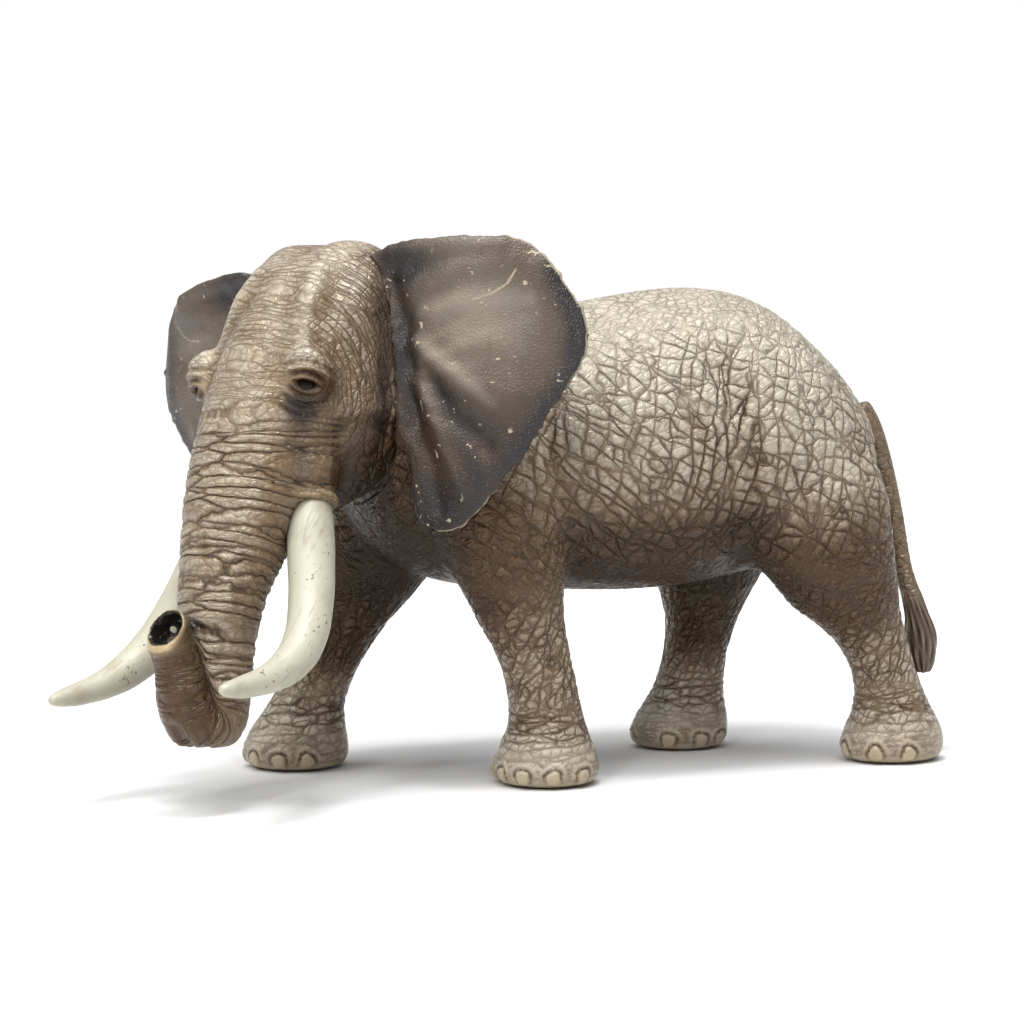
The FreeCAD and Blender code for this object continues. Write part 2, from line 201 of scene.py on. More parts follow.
# ------------------------------------------------------------------ nodes written as sums
class Wire:
    """A socket that carries a number or a vector; Python's sums on it add Math nodes."""

    def __init__(self, bench: "Bench", socket: bpy.types.NodeSocket) -> None:
        """Keeps the socket and the bench that its nodes are laid on."""
        self.bench = bench
        self.socket = socket

    def _sum(self, operation: str, first: object, second: object) -> "Wire":
        """One Math node on two values."""
        return self.bench.lay("ShaderNodeMath", {"operation": operation}, {0: first, 1: second})

    def __add__(self, other: object) -> "Wire":
        """This plus other."""
        return self._sum("ADD", self, other)

    def __sub__(self, other: object) -> "Wire":
        """This less other."""
        return self._sum("SUBTRACT", self, other)

    def __mul__(self, other: object) -> "Wire":
        """This times other."""
        return self._sum("MULTIPLY", self, other)

    def __radd__(self, other: object) -> "Wire":
        """Other plus this."""
        return self._sum("ADD", other, self)

    def __rsub__(self, other: object) -> "Wire":
        """Other less this."""
        return self._sum("SUBTRACT", other, self)

    def most(self, other: object) -> "Wire":
        """The larger of this and other."""
        return self._sum("MAXIMUM", self, other)

    def least(self, other: object) -> "Wire":
        """The smaller of this and other."""
        return self._sum("MINIMUM", self, other)

    def swing(self, amount: float) -> "Wire":
        """How far this lies from one half, times an amount."""
        return (self - 0.5) * amount

    def eased(self, low: float, high: float) -> "Wire":
        """Rises smoothly from 0 at low to 1 at high."""
        sockets = {"Value": self, "From Min": low, "From Max": high, "To Min": 0.0, "To Max": 1.0}
        return self.bench.lay("ShaderNodeMapRange", {"interpolation_type": "SMOOTHSTEP"}, sockets)


class Bench:
    """Lays nodes in one tree, of a material or of a geometry group."""

    def __init__(self, tree: bpy.types.NodeTree) -> None:
        """Takes the tree to lay nodes in."""
        self.tree = tree

    def lay(self, kind: str, settings: dict, sockets: dict, output: int | str = 0) -> Wire:
        """Adds one node.

        Args:
            kind: the node's type.
            settings: properties set before its sockets.
            sockets: values or wires by socket name or index.
            output: which output to hand on.

        Returns:
            The wire from that output.
        """
        node = self.tree.nodes.new(kind)
        for name, value in settings.items():
            setattr(node, name, value)
        for name, value in sockets.items():
            if isinstance(value, Wire):
                self.tree.links.new(value.socket, node.inputs[name])
            else:
                node.inputs[name].default_value = value
        return Wire(self, node.outputs[output]) if len(node.outputs) else Wire(self, node.inputs[0])

    def dot(self, vector: Wire, direction: Triple) -> Wire:
        """The part of a vector along a direction."""
        sockets = {0: vector, 1: direction}
        return self.lay("ShaderNodeVectorMath", {"operation": "DOT_PRODUCT"}, sockets, "Value")

    def joined(self, x: object, y: object, z: object) -> Wire:
        """A vector from three numbers."""
        return self.lay("ShaderNodeCombineXYZ", {}, {"X": x, "Y": y, "Z": z})

    def scaled(self, vector: Wire, scale: float) -> Wire:
        """A vector times a number."""
        return self.lay("ShaderNodeVectorMath", {"operation": "SCALE"}, {0: vector, "Scale": scale})

    def added(self, first: Wire, second: object) -> Wire:
        """The sum of two vectors."""
        return self.lay("ShaderNodeVectorMath", {"operation": "ADD"}, {0: first, 1: second})

    def grain(self, place: Wire, size: float, detail: float = 3.0, output: str = "Fac") -> Wire:
        """Cloudy noise whose clouds are about size millimetres across."""
        sockets = {"Vector": place, "Scale": 1.0 / size, "Detail": detail, "Roughness": 0.55}
        return self.lay("ShaderNodeTexNoise", {}, sockets, output)

    def stretched(self, place: Wire, scales: Triple, detail: float) -> Wire:
        """Cloudy noise, drawn out by its own scale along each axis."""
        drawn = self.lay("ShaderNodeVectorMath", {"operation": "MULTIPLY"}, {0: place, 1: scales})
        return self.lay("ShaderNodeTexNoise", {}, {"Vector": drawn, "Scale": 1.0, "Detail": detail}, "Fac")

    def blend(self, share: object, first: object, second: Triple) -> Wire:
        """A colour between a wire or a colour, and a colour."""
        settings = {"data_type": "RGBA", "blend_type": "MIX"}
        start = first if isinstance(first, Wire) else (*first, 1.0)
        return self.lay("ShaderNodeMix", settings, {0: share, 6: start, 7: (*second, 1.0)}, 2)

    def stored(self, name: str, output: str = "Vector") -> Wire:
        """What a mesh stores under a name, as a material reads it."""
        return self.lay("ShaderNodeAttribute", {"attribute_name": name}, {}, output)

    def parts(self, name: str) -> tuple[Wire, Wire, Wire]:
        """Three masks that a mesh stores as one vector."""
        node = self.lay("ShaderNodeSeparateXYZ", {}, {0: self.stored(name)}).socket.node
        return tuple(Wire(self, socket) for socket in node.outputs)

    def painted(self, sockets: dict, relief: Wire | None = None, strength: float = 1.0,
                height: float = 0.0) -> None:
        """Ends a material with its shader.

        Args:
            sockets: the shader's values or wires.
            relief: height of the fine relief, or None for a smooth surface.
            strength: how strongly the relief tilts the surface.
            height: how high a relief of 1 stands, in metres.
        """
        if relief is not None:
            bump = {"Strength": strength, "Distance": height, "Height": relief}
            sockets = sockets | {"Normal": self.lay("ShaderNodeBump", {}, bump)}
        shader = self.lay("ShaderNodeBsdfPrincipled", {}, sockets)
        self.lay("ShaderNodeOutputMaterial", {}, {"Surface": shader})


def new_finish(name: str) -> tuple[bpy.types.Material, Bench, Wire]:
    """Starts a material.

    Args:
        name: the material's name.

    Returns:
        The material, the bench to lay its nodes on, and the place in millimetres.
    """
    material = bpy.data.materials.new(name)
    material.use_nodes = True
    material.node_tree.nodes.clear()
    bench = Bench(material.node_tree)
    return material, bench, bench.scaled(bench.lay("ShaderNodeTexCoord", {}, {}, "Object"), MM)


# ------------------------------------------------------------------ nets of creases
@dataclass(frozen=True)
class CreaseNet:
    """Creases between cells that are longer one way, as worn skin folds along its stress lines.

    The place is measured along three axes, each over the cell's size there, then shifted by cloudy
    noise. The distance to the nearest border between scattered cells is the result, in cells.
    The painted line is `width` cells wide, and the crease cuts `depth` millimetres deep. The net is
    measured on the stored place `laid_on`, or on the place itself where that is empty.
    """

    long_axis: Triple
    cross_axis: Triple
    third_axis: Triple
    sizes: Triple
    warp: float
    warp_size: float
    offset: float
    width: float
    depth: float
    laid_on: str = ""

    def lay(self, bench: Bench, place: Wire) -> Wire:
        """Lays the net's nodes.

        Args:
            bench: where its nodes go.
            place: the place on the surface, in millimetres.

        Returns:
            The distance to the nearest crease, in cells.
        """
        axes = (self.long_axis, self.cross_axis, self.third_axis)
        steps = [tuple(component / size for component in axis) for axis, size in zip(axes, self.sizes)]
        cell = bench.joined(*[bench.dot(place, step) for step in steps])
        cloud = bench.grain(bench.added(place, (self.offset, 0.0, 7.0)), self.warp_size, 4.0, "Color")
        shifted = bench.added(cell, bench.scaled(bench.added(cloud, (-0.5, -0.5, -0.5)), 2.0 * self.warp))
        moved = bench.added(shifted, (self.offset, self.offset * 0.37, 3.1))
        settings = {"feature": "DISTANCE_TO_EDGE", "voronoi_dimensions": "3D"}
        return bench.lay("ShaderNodeTexVoronoi", settings, {"Vector": moved, "Scale": 1.0}, "Distance")


def slanted(degrees: float, sizes: Triple, *look: float | str) -> CreaseNet:
    """A net whose cells are long at an angle above straight back, seen from the animal's side."""
    c, s = math.cos(math.radians(degrees)), math.sin(math.radians(degrees))
    return CreaseNet((0.0, c, s), (0.0, -s, c), (1.0, 0.0, 0.0), sizes, *look)


def crosswise(sizes: Triple, *look: float | str) -> CreaseNet:
    """A net whose cells are long across the face, and narrow down its middle line."""
    return CreaseNet((0.0, 1.0, 0.0), (1.0, 0.0, 0.0), (0.0, 0.0, 1.0), sizes, *look)


class Net(Enum):
    """The nets of creases that the hide uses: sizes, warp, warp size, offset, width, depth, laid on."""

    RISING = slanted(60.0, (15.0, 3.3, 9.0), 0.60, 12.0, 3.0, 0.045, 0.40, "flow")
    FALLING = slanted(-30.0, (9.5, 3.4, 6.0), 0.65, 9.0, 17.0, 0.048, 0.27, "flow")
    FINE = slanted(24.0, (2.5, 1.5, 2.0), 0.55, 4.0, 31.0, 0.09, 0.11)
    LEG = slanted(64.0, (6.4, 2.1, 3.0), 0.60, 7.0, 43.0, 0.07, 0.24)
    ANKLE = slanted(3.0, (11.0, 1.8, 9.0), 0.55, 6.0, 59.0, 0.08, 0.24)
    RINGS = crosswise((15.0, 2.4, 30.0), 0.42, 7.0, 71.0, 0.06, 0.34, "wrap")
    FACE = crosswise((6.5, 1.35, 8.0), 0.6, 5.0, 83.0, 0.08, 0.08, "wrap")
    TEMPLE = crosswise((8.0, 1.25, 9.0), 0.55, 6.0, 97.0, 0.06, 0.11, "swirl")

    @property
    def weight_name(self) -> str:
        """The name under which a mesh stores this net's weights."""
        return "w_" + self.name


HIDE_NETS = (Net.RISING, Net.FALLING, Net.FINE, Net.LEG, Net.ANKLE)
HEAD_NETS = (Net.RINGS, Net.FACE, Net.TEMPLE, Net.FINE, Net.RISING, Net.FALLING)
STORED_PLACES = ("wrap", "flow", "swirl")
CUT_REACH = 0.20                    # how far from its middle a carved crease begins, in cells
SHOULDER = 2.4                      # how much wider a cell's rounded edge is than the painted line


def set_up(name: str, data: bpy.types.ID) -> bpy.types.Object:
    """A new object in the scene that carries the data."""
    thing = bpy.data.objects.new(name, data)
    bpy.context.scene.collection.objects.link(thing)
    return thing


def measured(mesh: bpy.types.Mesh, nets: tuple[Net, ...]) -> dict[Net, Array]:
    """Reads the nets at every vertex, through a geometry group made of the same nodes as the paint.

    Args:
        mesh: the mesh, in the row's metres, with the stored places that the nets are laid on.
        nets: the nets to read.

    Returns:
        The distance to the nearest crease at every vertex, by net.
    """
    tree = bpy.data.node_groups.new("crease_gauge", "GeometryNodeTree")
    tree.interface.new_socket("Geometry", in_out="INPUT", socket_type="NodeSocketGeometry")
    tree.interface.new_socket("Geometry", in_out="OUTPUT", socket_type="NodeSocketGeometry")
    bench = Bench(tree)
    geometry = bench.lay("NodeGroupInput", {}, {})
    place = bench.scaled(bench.lay("GeometryNodeInputPosition", {}, {}), MM)
    vector, number = {"data_type": "FLOAT_VECTOR"}, {"data_type": "FLOAT", "domain": "POINT"}
    stored = {name: bench.lay("GeometryNodeInputNamedAttribute", vector, {"Name": name})
              for name in STORED_PLACES}
    for net in nets:
        distance = net.value.lay(bench, stored.get(net.value.laid_on, place))
        sockets = {"Geometry": geometry, "Name": net.name, "Value": distance}
        geometry = bench.lay("GeometryNodeStoreNamedAttribute", number, sockets)
    bench.lay("NodeGroupOutput", {}, {0: geometry})

    holder = set_up("gauge", mesh)
    modifier = holder.modifiers.new("gauge", "NODES")
    modifier.node_group = tree
    graph = bpy.context.evaluated_depsgraph_get()
    result = holder.evaluated_get(graph).to_mesh()
    found = {}
    for net in nets:
        values = np.empty(len(result.vertices), np.float32)
        result.attributes[net.name].data.foreach_get("value", values)
        found[net] = values.astype(float)
    holder.evaluated_get(graph).to_mesh_clear()
    bpy.data.objects.remove(holder)
    bpy.data.node_groups.remove(tree)
    return found


# ------------------------------------------------------------------ clay: a skin being modelled
FULL_SHARE = 0.6                    # how far a point moves in one step of relaxing
HOLLOW_STEPS = 14                   # steps of relaxing that a skin's hollows are judged by


@dataclass
class Clay:
    """A skin of four-sided faces that is being modelled, in the maker's millimetres."""

    points: Array
    quads: Array

    @classmethod
    def cast(cls, nodes: list[str], voxel: float) -> "Clay":
        """Joins copies of CAD nodes into one even skin of small squares.

        Args:
            nodes: the CAD nodes.
            voxel: the size of the squares at full detail, in millimetres.

        Returns:
            The skin of them all, with what they hide inside left out.
        """
        form = bmesh.new()
        for name in nodes:
            form.from_mesh(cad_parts[name].data)
        bmesh.ops.remove_doubles(form, verts=form.verts, dist=1e-6)
        mesh = bpy.data.meshes.new("cast")
        form.to_mesh(mesh)
        form.free()
        grid = voxel
        remesh = {"mode": "VOXEL", "voxel_size": grid / MM}
        return cls.from_mesh(with_modifier(mesh, "REMESH", remesh)).outermost()

    @classmethod
    def from_mesh(cls, mesh: bpy.types.Mesh) -> "Clay":
        """Reads a mesh of four-sided faces."""
        points = np.empty(len(mesh.vertices) * 3)
        mesh.vertices.foreach_get("co", points)
        corners = np.empty(len(mesh.loops), np.int64)
        mesh.loops.foreach_get("vertex_index", corners)
        return cls(STANCE.from_row(points.reshape(-1, 3)), corners.reshape(-1, 4))

    def to_mesh(self, name: str) -> bpy.types.Mesh:
        """Writes the skin as a mesh in the row's metres."""
        mesh = bpy.data.meshes.new(name)
        mesh.vertices.add(len(self.points))
        mesh.vertices.foreach_set("co", STANCE.to_row(self.points).ravel())
        mesh.loops.add(self.quads.size)
        mesh.loops.foreach_set("vertex_index", self.quads.ravel().astype(np.int32))
        mesh.polygons.add(len(self.quads))
        mesh.polygons.foreach_set("loop_start", np.arange(0, self.quads.size, 4, dtype=np.int32))
        mesh.update(calc_edges=True)
        return mesh

    def edges(self) -> Array:
        """Every edge once, as pairs of vertices."""
        pairs = np.concatenate([self.quads[:, [i, (i + 1) % 4]] for i in range(4)])
        pairs.sort(axis=1)
        return np.unique(pairs, axis=0)

    def outermost(self) -> "Clay":
        """Only the connected skin that reaches furthest, without surfaces closed up inside it.

        Each vertex takes the lowest label among its neighbours, and labels jump to their own label
        in each round, until nothing changes.
        """
        pairs = self.edges()
        labels = np.arange(len(self.points))
        while True:
            lower = labels.copy()
            np.minimum.at(lower, pairs[:, 0], labels[pairs[:, 1]])
            np.minimum.at(lower, pairs[:, 1], labels[pairs[:, 0]])
            lower = lower[lower]
            if np.array_equal(lower, labels):
                break
            labels = lower
        return self.kept(labels == labels[np.argmax(self.points[:, 1])])

    def kept(self, wanted: Array) -> "Clay":
        """The faces whose corners are all wanted."""
        quads = self.quads[wanted[self.quads].all(axis=1)]
        used = np.unique(quads)
        renumber = np.full(len(self.points), -1)
        renumber[used] = np.arange(len(used))
        return Clay(self.points[used], renumber[quads])

    def averaged(self, values: Array, pairs: Array, counts: Array) -> Array:
        """The mean of each vertex's neighbours, for every column of values."""
        columns = []
        for column in values.T:
            total = np.bincount(pairs[:, 0], column[pairs[:, 1]], len(self.points))
            total += np.bincount(pairs[:, 1], column[pairs[:, 0]], len(self.points))
            columns.append(total / counts)
        return np.array(columns).T

    def relaxed(self, steps: int, share: Array | float) -> Array:
        """Where the points settle when each moves towards its neighbours' mean.

        Args:
            steps: how many times.
            share: how far each point moves in a step, from 0 to 1.

        Returns:
            The settled points.
        """
        pairs = self.edges()
        counts = np.maximum(np.bincount(pairs.ravel(), minlength=len(self.points)), 1)
        share = np.broadcast_to(share, len(self.points))[:, None]
        points = self.points
        for _ in range(steps):
            points = points + (self.averaged(points, pairs, counts) - points) * share
        return points

    def normals(self) -> Array:
        """The outward direction at each vertex, from the diagonals of the faces around it."""
        corner = self.points[self.quads]
        face = np.cross(corner[:, 2] - corner[:, 0], corner[:, 3] - corner[:, 1])
        total = np.zeros_like(self.points)
        for axis in range(3):
            for i in range(4):
                total[:, axis] += np.bincount(self.quads[:, i], face[:, axis], len(self.points))
        return total / np.maximum(np.linalg.norm(total, axis=1, keepdims=True), 1e-12)

    def push(self, amount: Array) -> None:
        """Moves every point outward by its amount, in millimetres."""
        self.points = self.points + self.normals() * amount[:, None]

    def refined(self) -> "Clay":
        """Each face split in four by one round of smooth subdivision."""
        levels = {"levels": 1, "render_levels": 1, "subdivision_type": "CATMULL_CLARK"}
        return Clay.from_mesh(with_modifier(self.to_mesh("fine"), "SUBSURF", levels))

    def hollow(self, steps: int) -> Array:
        """How deep each point lies below its smoothed surroundings, in millimetres."""
        return ((self.relaxed(steps, FULL_SHARE) - self.points) * self.normals()).sum(axis=1)


def with_modifier(mesh: bpy.types.Mesh, kind: str, settings: dict) -> bpy.types.Mesh:
    """Applies one modifier to a mesh and returns the new mesh."""
    holder = set_up("holder", mesh)
    modifier = holder.modifiers.new("shape", kind)
    for name, value in settings.items():
        setattr(modifier, name, value)
    graph = bpy.context.evaluated_depsgraph_get()
    result = bpy.data.meshes.new_from_object(holder.evaluated_get(graph))
    bpy.data.objects.remove(holder)
    bpy.data.meshes.remove(mesh)
    return result


def give(mesh: bpy.types.Mesh, name: str, values: Array) -> None:
    """Stores one number, or one vector, per vertex under a name."""
    kind, key = ("FLOAT", "value") if values.ndim == 1 else ("FLOAT_VECTOR", "vector")
    layer = mesh.attributes.new(name, kind, "POINT")
    layer.data.foreach_set(key, np.ascontiguousarray(values, np.float32).ravel())


def parted(mesh: bpy.types.Mesh, cuts: list[tuple[Array, Array]], name: str) -> bpy.types.Mesh:
    """Cuts a closed skin with planes and closes each cut with a flat face.

    Args:
        mesh: the skin, in metres; it stays as it is.
        cuts: for each plane a point on it, in the maker's millimetres, and the side to cut away.
        name: the new mesh's name.

    Returns:
        The closed piece that is left.
    """
    form = bmesh.new()
    form.from_mesh(mesh)
    for point, away in cuts:
        place = Vector(STANCE.to_row(point))
        geometry = form.verts[:] + form.edges[:] + form.faces[:]
        bmesh.ops.bisect_plane(form, geom=geometry, dist=1e-7, plane_co=place, plane_no=Vector(away),
                               clear_outer=True)
        rim = [edge for edge in form.edges if edge.is_boundary]
        for face in bmesh.ops.holes_fill(form, edges=rim, sides=0)["faces"]:
            face.normal_update()
            if face.normal.dot(Vector(away)) < 0.0:
                face.normal_flip()
            for edge in face.edges:
                edge.smooth = False
            bmesh.ops.triangulate(form, faces=[face])
    piece = bpy.data.meshes.new(name)
    form.to_mesh(piece)
    form.free()
    return piece


def placed(mesh: bpy.types.Mesh, name: str, material: bpy.types.Material,
           node: str | None = None) -> bpy.types.Object:
    """Puts a finished mesh into the scene as a piece of the elephant.

    Args:
        mesh: the piece's mesh, in the row's metres.
        name: the piece's name.
        material: its finish.
        node: the CAD node that it stands for, if there is one.

    Returns:
        The new object.
    """
    piece = set_up(name, mesh)
    mesh.materials.clear()
    mesh.materials.append(material)
    mesh.polygons.foreach_set("use_smooth", np.ones(len(mesh.polygons), bool))
    mesh.update()
    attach(piece, BODY)
    if node:
        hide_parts(node)
    log.info("%s: %d vertices, %d faces", name, len(mesh.vertices), len(mesh.polygons))
    return piece


# ------------------------------------------------------------------ the paint
@dataclass(frozen=True)
class HidePaint:
    """Painted vinyl hide: a taupe coat, dark crease lines with painted shade, light dry-brush on the tops
    with painted highlight.

    The mesh carries "paint" (dark airbrush and painted shade, light dry-brush and painted highlight,
    warm brown and painted shade), "extra" (bare nail or worn edge, hollow as painted shade, gloss black)
    and one weight for each net of creases.
    """

    name: str
    nets: tuple[Net, ...]
    # deep is the crease lines' dark and painted shade; bright is dry-brush and painted highlight; warm and
    # smoke are paint that also carries painted shade
    deep: Triple = (0.010, 0.0055, 0.0025)
    coat: Triple = (0.168, 0.111, 0.066)
    bright: Triple = (0.45, 0.408, 0.325)
    warm: Triple = (0.056, 0.024, 0.0075)
    smoke: Triple = (0.022, 0.019, 0.022)
    nail: Triple = (0.46, 0.35, 0.21)
    black: Triple = (0.008, 0.007, 0.007)
    sheen: Triple = (1.0, 0.87, 0.72)
    cloud_size: float = 16.0        # millimetres across, as all sizes here
    mottle_size: float = 4.5
    speck_size: float = 1.3
    tooth_size: float = 0.42
    patch_size: float = 5.0
    chip_size: float = 0.8
    chip_level: float = 0.71        # how high the noise has to rise before the paint is chipped
    faintest: float = 0.25          # what is left of a crease's line where it is faintest
    relief_height: float = 0.00110

    def make(self) -> bpy.types.Material:
        """Builds the material."""
        material, bench, place = new_finish(self.name)
        dark, light, warm = bench.parts("paint")
        worn, hollow, black = bench.parts("extra")
        crease, height = self._creases(bench, place)
        cloud = bench.grain(place, self.cloud_size, 4.0)
        speck = bench.grain(place, self.speck_size, 3.0)
        mottle = bench.grain(place, self.mottle_size, 4.0)

        # Dry-brush paint with painted highlight on the upward faces and the raised cell tops.
        drybrush_and_highlight = light + cloud.swing(0.6) + mottle.swing(0.7) + height.swing(0.30)
        colour = bench.blend(drybrush_and_highlight.eased(-0.05, 1.15), self.coat, self.bright)
        # Brown paint with painted shade on the undersides, between the legs, and under the ear and head.
        brown_and_shade = warm + cloud.swing(0.6) + mottle.swing(0.4)
        colour = bench.blend(brown_and_shade.eased(0.05, 1.0) * 0.96, colour, self.warm)
        # Dark airbrush with painted shade under the head and in the face's grooves.
        airbrush_and_shade = dark + mottle.swing(0.35)
        colour = bench.blend(airbrush_and_shade.eased(0.05, 1.0) * 0.92, colour, self.smoke)
        # Dark crease lines with painted shade in recesses, on the throat, under the belly and between the
        # legs.
        crease_dark_and_shade = crease * (0.95 - light * 0.25) + hollow.eased(0.08, 1.0) * 0.80
        crease_dark_and_shade = crease_dark_and_shade + (0.5 - speck).eased(0.0, 0.35) * 0.16
        colour = bench.blend(crease_dark_and_shade.least(0.92), colour, self.deep)
        chip = (bench.grain(place, self.chip_size, 2.0) - self.chip_level).eased(0.0, 0.03)
        chip = chip * bench.grain(place, 7.0, 2.0).eased(0.55, 0.7)
        bare = (worn * (0.05 + mottle * 1.1 + speck * 0.5)).most(chip * 0.5)
        colour = bench.blend(bare.least(1.0), colour, self.nail)
        colour = bench.blend(black, colour, self.black)

        rough = 0.27 + speck.swing(0.34) + hollow * 0.25 - height * 0.06 - dark * 0.05 - black * 0.36
        tooth = bench.grain(place, self.tooth_size, 2.0)
        relief = height * 0.30 + speck * 0.13 + tooth.swing(0.09)
        sockets = {"Base Color": colour, "Roughness": rough, "Specular IOR Level": 0.45,
                   "Specular Tint": (*self.sheen, 1.0)}
        bench.painted(sockets, relief, 1.0, self.relief_height)
        return material

    def _creases(self, bench: Bench, place: Wire) -> tuple[Wire, Wire]:
        """The strongest crease here, and the height of the cell between creases."""
        stored = {name: bench.stored(name) for name in STORED_PLACES}
        patch = bench.grain(place, self.patch_size, 3.0).eased(0.25, 0.62)
        patchy = patch * (1.0 - self.faintest) + self.faintest
        crease, height = None, None
        for net in self.nets:
            weight = bench.stored(net.weight_name, "Fac")
            distance = net.value.lay(bench, stored.get(net.value.laid_on, place))
            line = weight * patchy * (1.0 - distance.eased(0.0, net.value.width))
            top = 1.0 - weight * (1.0 - distance.eased(0.0, SHOULDER * net.value.width))
            crease = line if crease is None else crease.most(line)
            height = top if height is None else height.least(top)
        return crease, height


@dataclass(frozen=True)
class EarPaint:
    """Smooth leathery ear: brown with a dark airbrushed rim and root, scratches and a worn edge; painted
    shade in its recesses and on the far ear, painted highlight along its raised folds.
    """

    name: str = "ear_hide"
    coat: Triple = (0.098, 0.070, 0.048)
    pale: Triple = (0.270, 0.228, 0.180)
    smoke: Triple = (0.012, 0.011, 0.014)
    warm: Triple = (0.036, 0.019, 0.009)
    cream: Triple = (0.40, 0.34, 0.24)
    scratch_scales: Triple = (0.9, 0.12, 0.75)
    cell_scale: float = 1.5
    relief_height: float = 0.0007

    def make(self) -> bpy.types.Material:
        """Builds the material."""
        material, bench, place = new_finish(self.name)
        dark, light, warm = bench.parts("paint")
        worn, hollow, _ = bench.parts("extra")
        cloud = bench.grain(place, 9.0, 5.0)
        speck = bench.grain(place, 0.9, 3.0)
        mottle = bench.grain(place, 3.2, 4.0)
        # Pale middle, and painted highlight along the raised folds.
        pale_and_fold_highlight = light + cloud.swing(0.8) + mottle.swing(0.4) + speck.swing(0.12)
        colour = bench.blend(pale_and_fold_highlight.eased(0.0, 1.0), self.coat, self.pale)
        colour = bench.blend((warm + cloud.swing(0.4)).eased(0.1, 1.0) * 0.85, colour, self.warm)
        # Dark airbrush on the rim and root, darker towards the bottom, and painted shade in the recesses
        # and on the far ear.
        airbrush_and_shade = dark + cloud.swing(0.75) + mottle.swing(0.25) + hollow * 0.5
        colour = bench.blend(airbrush_and_shade.eased(0.10, 1.0) * 0.90, colour, self.smoke)
        scratch = bench.stretched(place, self.scratch_scales, 3.0).eased(0.655, 0.675)
        nick = scratch * bench.grain(place, 6.0, 2.0).eased(0.48, 0.58) * 2.4
        edge = (worn * (0.35 + mottle * 1.1)).eased(0.30, 0.75)
        colour = bench.blend((edge * 0.9).most(nick * 0.40), colour, self.cream)
        cells = {"Vector": place, "Scale": self.cell_scale}
        leather = bench.lay("ShaderNodeTexVoronoi", {"feature": "DISTANCE_TO_EDGE"}, cells, "Distance")
        relief = leather.eased(0.0, 0.35) * 0.10 + speck * 0.16 + mottle * 0.35
        rough = 0.40 + mottle.swing(0.22) + speck.swing(0.16) - dark * 0.06
        sockets = {"Base Color": colour, "Roughness": rough, "Specular IOR Level": 0.45}
        bench.painted(sockets, relief, 0.75, self.relief_height)
        return material


@dataclass(frozen=True)
class IvoryPaint:
    """Cream painted tusk with fine scratches along it, grey-brown smudges and nicks near its tip."""

    name: str = "tusk_cream"
    cream: Triple = (0.41, 0.395, 0.31)
    shade: Triple = (0.31, 0.275, 0.195)
    grime: Triple = (0.075, 0.055, 0.038)
    streak_scales: Triple = (0.05, 1.9, 1.9)
    relief_height: float = 0.0005

    def make(self) -> bpy.types.Material:
        """Builds the material; "run" holds the place along the tusk and around it, in millimetres."""
        material, bench, place = new_finish(self.name)
        tip, root, _ = bench.parts("paint")
        cloud = bench.grain(place, 7.0, 4.0)
        speck = bench.grain(place, 0.8, 3.0)
        streak = bench.stretched(bench.stored("run"), self.streak_scales, 4.0)
        scratch = streak.eased(0.585, 0.64) * bench.grain(place, 5.0, 2.0).eased(0.42, 0.62)
        smudge = (cloud + streak.swing(0.14) + tip * 0.12 + root * 0.12).eased(0.46, 0.90)
        colour = bench.blend(smudge, self.cream, self.shade)
        nick = bench.grain(place, 1.0, 3.0).eased(0.625, 0.68)
        nick = nick * bench.grain(place, 8.0, 1.0).eased(0.50, 0.60)
        dirt = (scratch * 0.12).most(nick * 0.75).most(root * 0.5 * speck)
        colour = bench.blend(dirt, colour, self.grime)
        rough = 0.43 + cloud.swing(0.2) + scratch * 0.15
        relief = speck * 0.14 + streak * 0.10 - scratch * 0.15 - nick * 0.3
        sockets = {"Base Color": colour, "Roughness": rough, "Specular IOR Level": 0.5}
        bench.painted(sockets, relief, 0.7, self.relief_height)
        return material


@dataclass(frozen=True)
class EyePaint:
    """Glossy dark brown eye with a black middle."""

    name: str = "eye_gloss"
    iris: Triple = (0.012, 0.007, 0.004)
    pupil: Triple = (0.004, 0.004, 0.004)

    def make(self) -> bpy.types.Material:
        """Builds the material; "run" holds the angle from the eye's middle."""
        material, bench, place = new_finish(self.name)
        speck = bench.grain(place, 0.5, 3.0)
        share = (bench.stored("run", "Fac") + speck.swing(0.15)).eased(0.20, 0.45)
        colour = bench.blend(share, self.pupil, self.iris)
        rough = 0.10 + speck * 0.08
        bench.painted({"Base Color": colour, "Roughness": rough, "Specular IOR Level": 0.14})
        return material


# ------------------------------------------------------------------ modelled forms
@dataclass(frozen=True)
class Mound:
    """A soft hill, or a hollow where its height is negative."""

    centre: Triple
    reach: Triple
    height: float

    def over(self, points: Array) -> Array:
        """The height it adds at the points."""
        return self.height * mound(points, self.centre, self.reach)


@dataclass(frozen=True)
class Ridge:
    """A soft ridge along a bent line, or a groove where its height is negative."""

    path: tuple[Triple, ...]
    width: float
    height: float

    def over(self, points: Array) -> Array:
        """The height it adds at the points."""
        return self.height * fold(points, list(self.path), self.width)


def relief_of(forms: tuple, points: Array) -> Array:
    """The sum of all forms' heights at the points."""
    return sum(form.over(points) for form in forms)


def carved(distances: dict[Net, Array], weights: dict[Net, Array]) -> Array:
    """How far the creases cut in, in millimetres: the deepest of all nets at each point.

    Args:
        distances: the distance to the nearest crease, by net.
        weights: how strong each net is at each point.

    Returns:
        The depth, which is 0 where no crease is near.
    """
    depth = np.zeros(len(next(iter(distances.values()))))
    for net, distance in distances.items():
        cut = net.value.depth * weights[net] * (1.0 - ease(distance, 0.0, CUT_REACH))
        depth = np.maximum(depth, cut)
    return depth


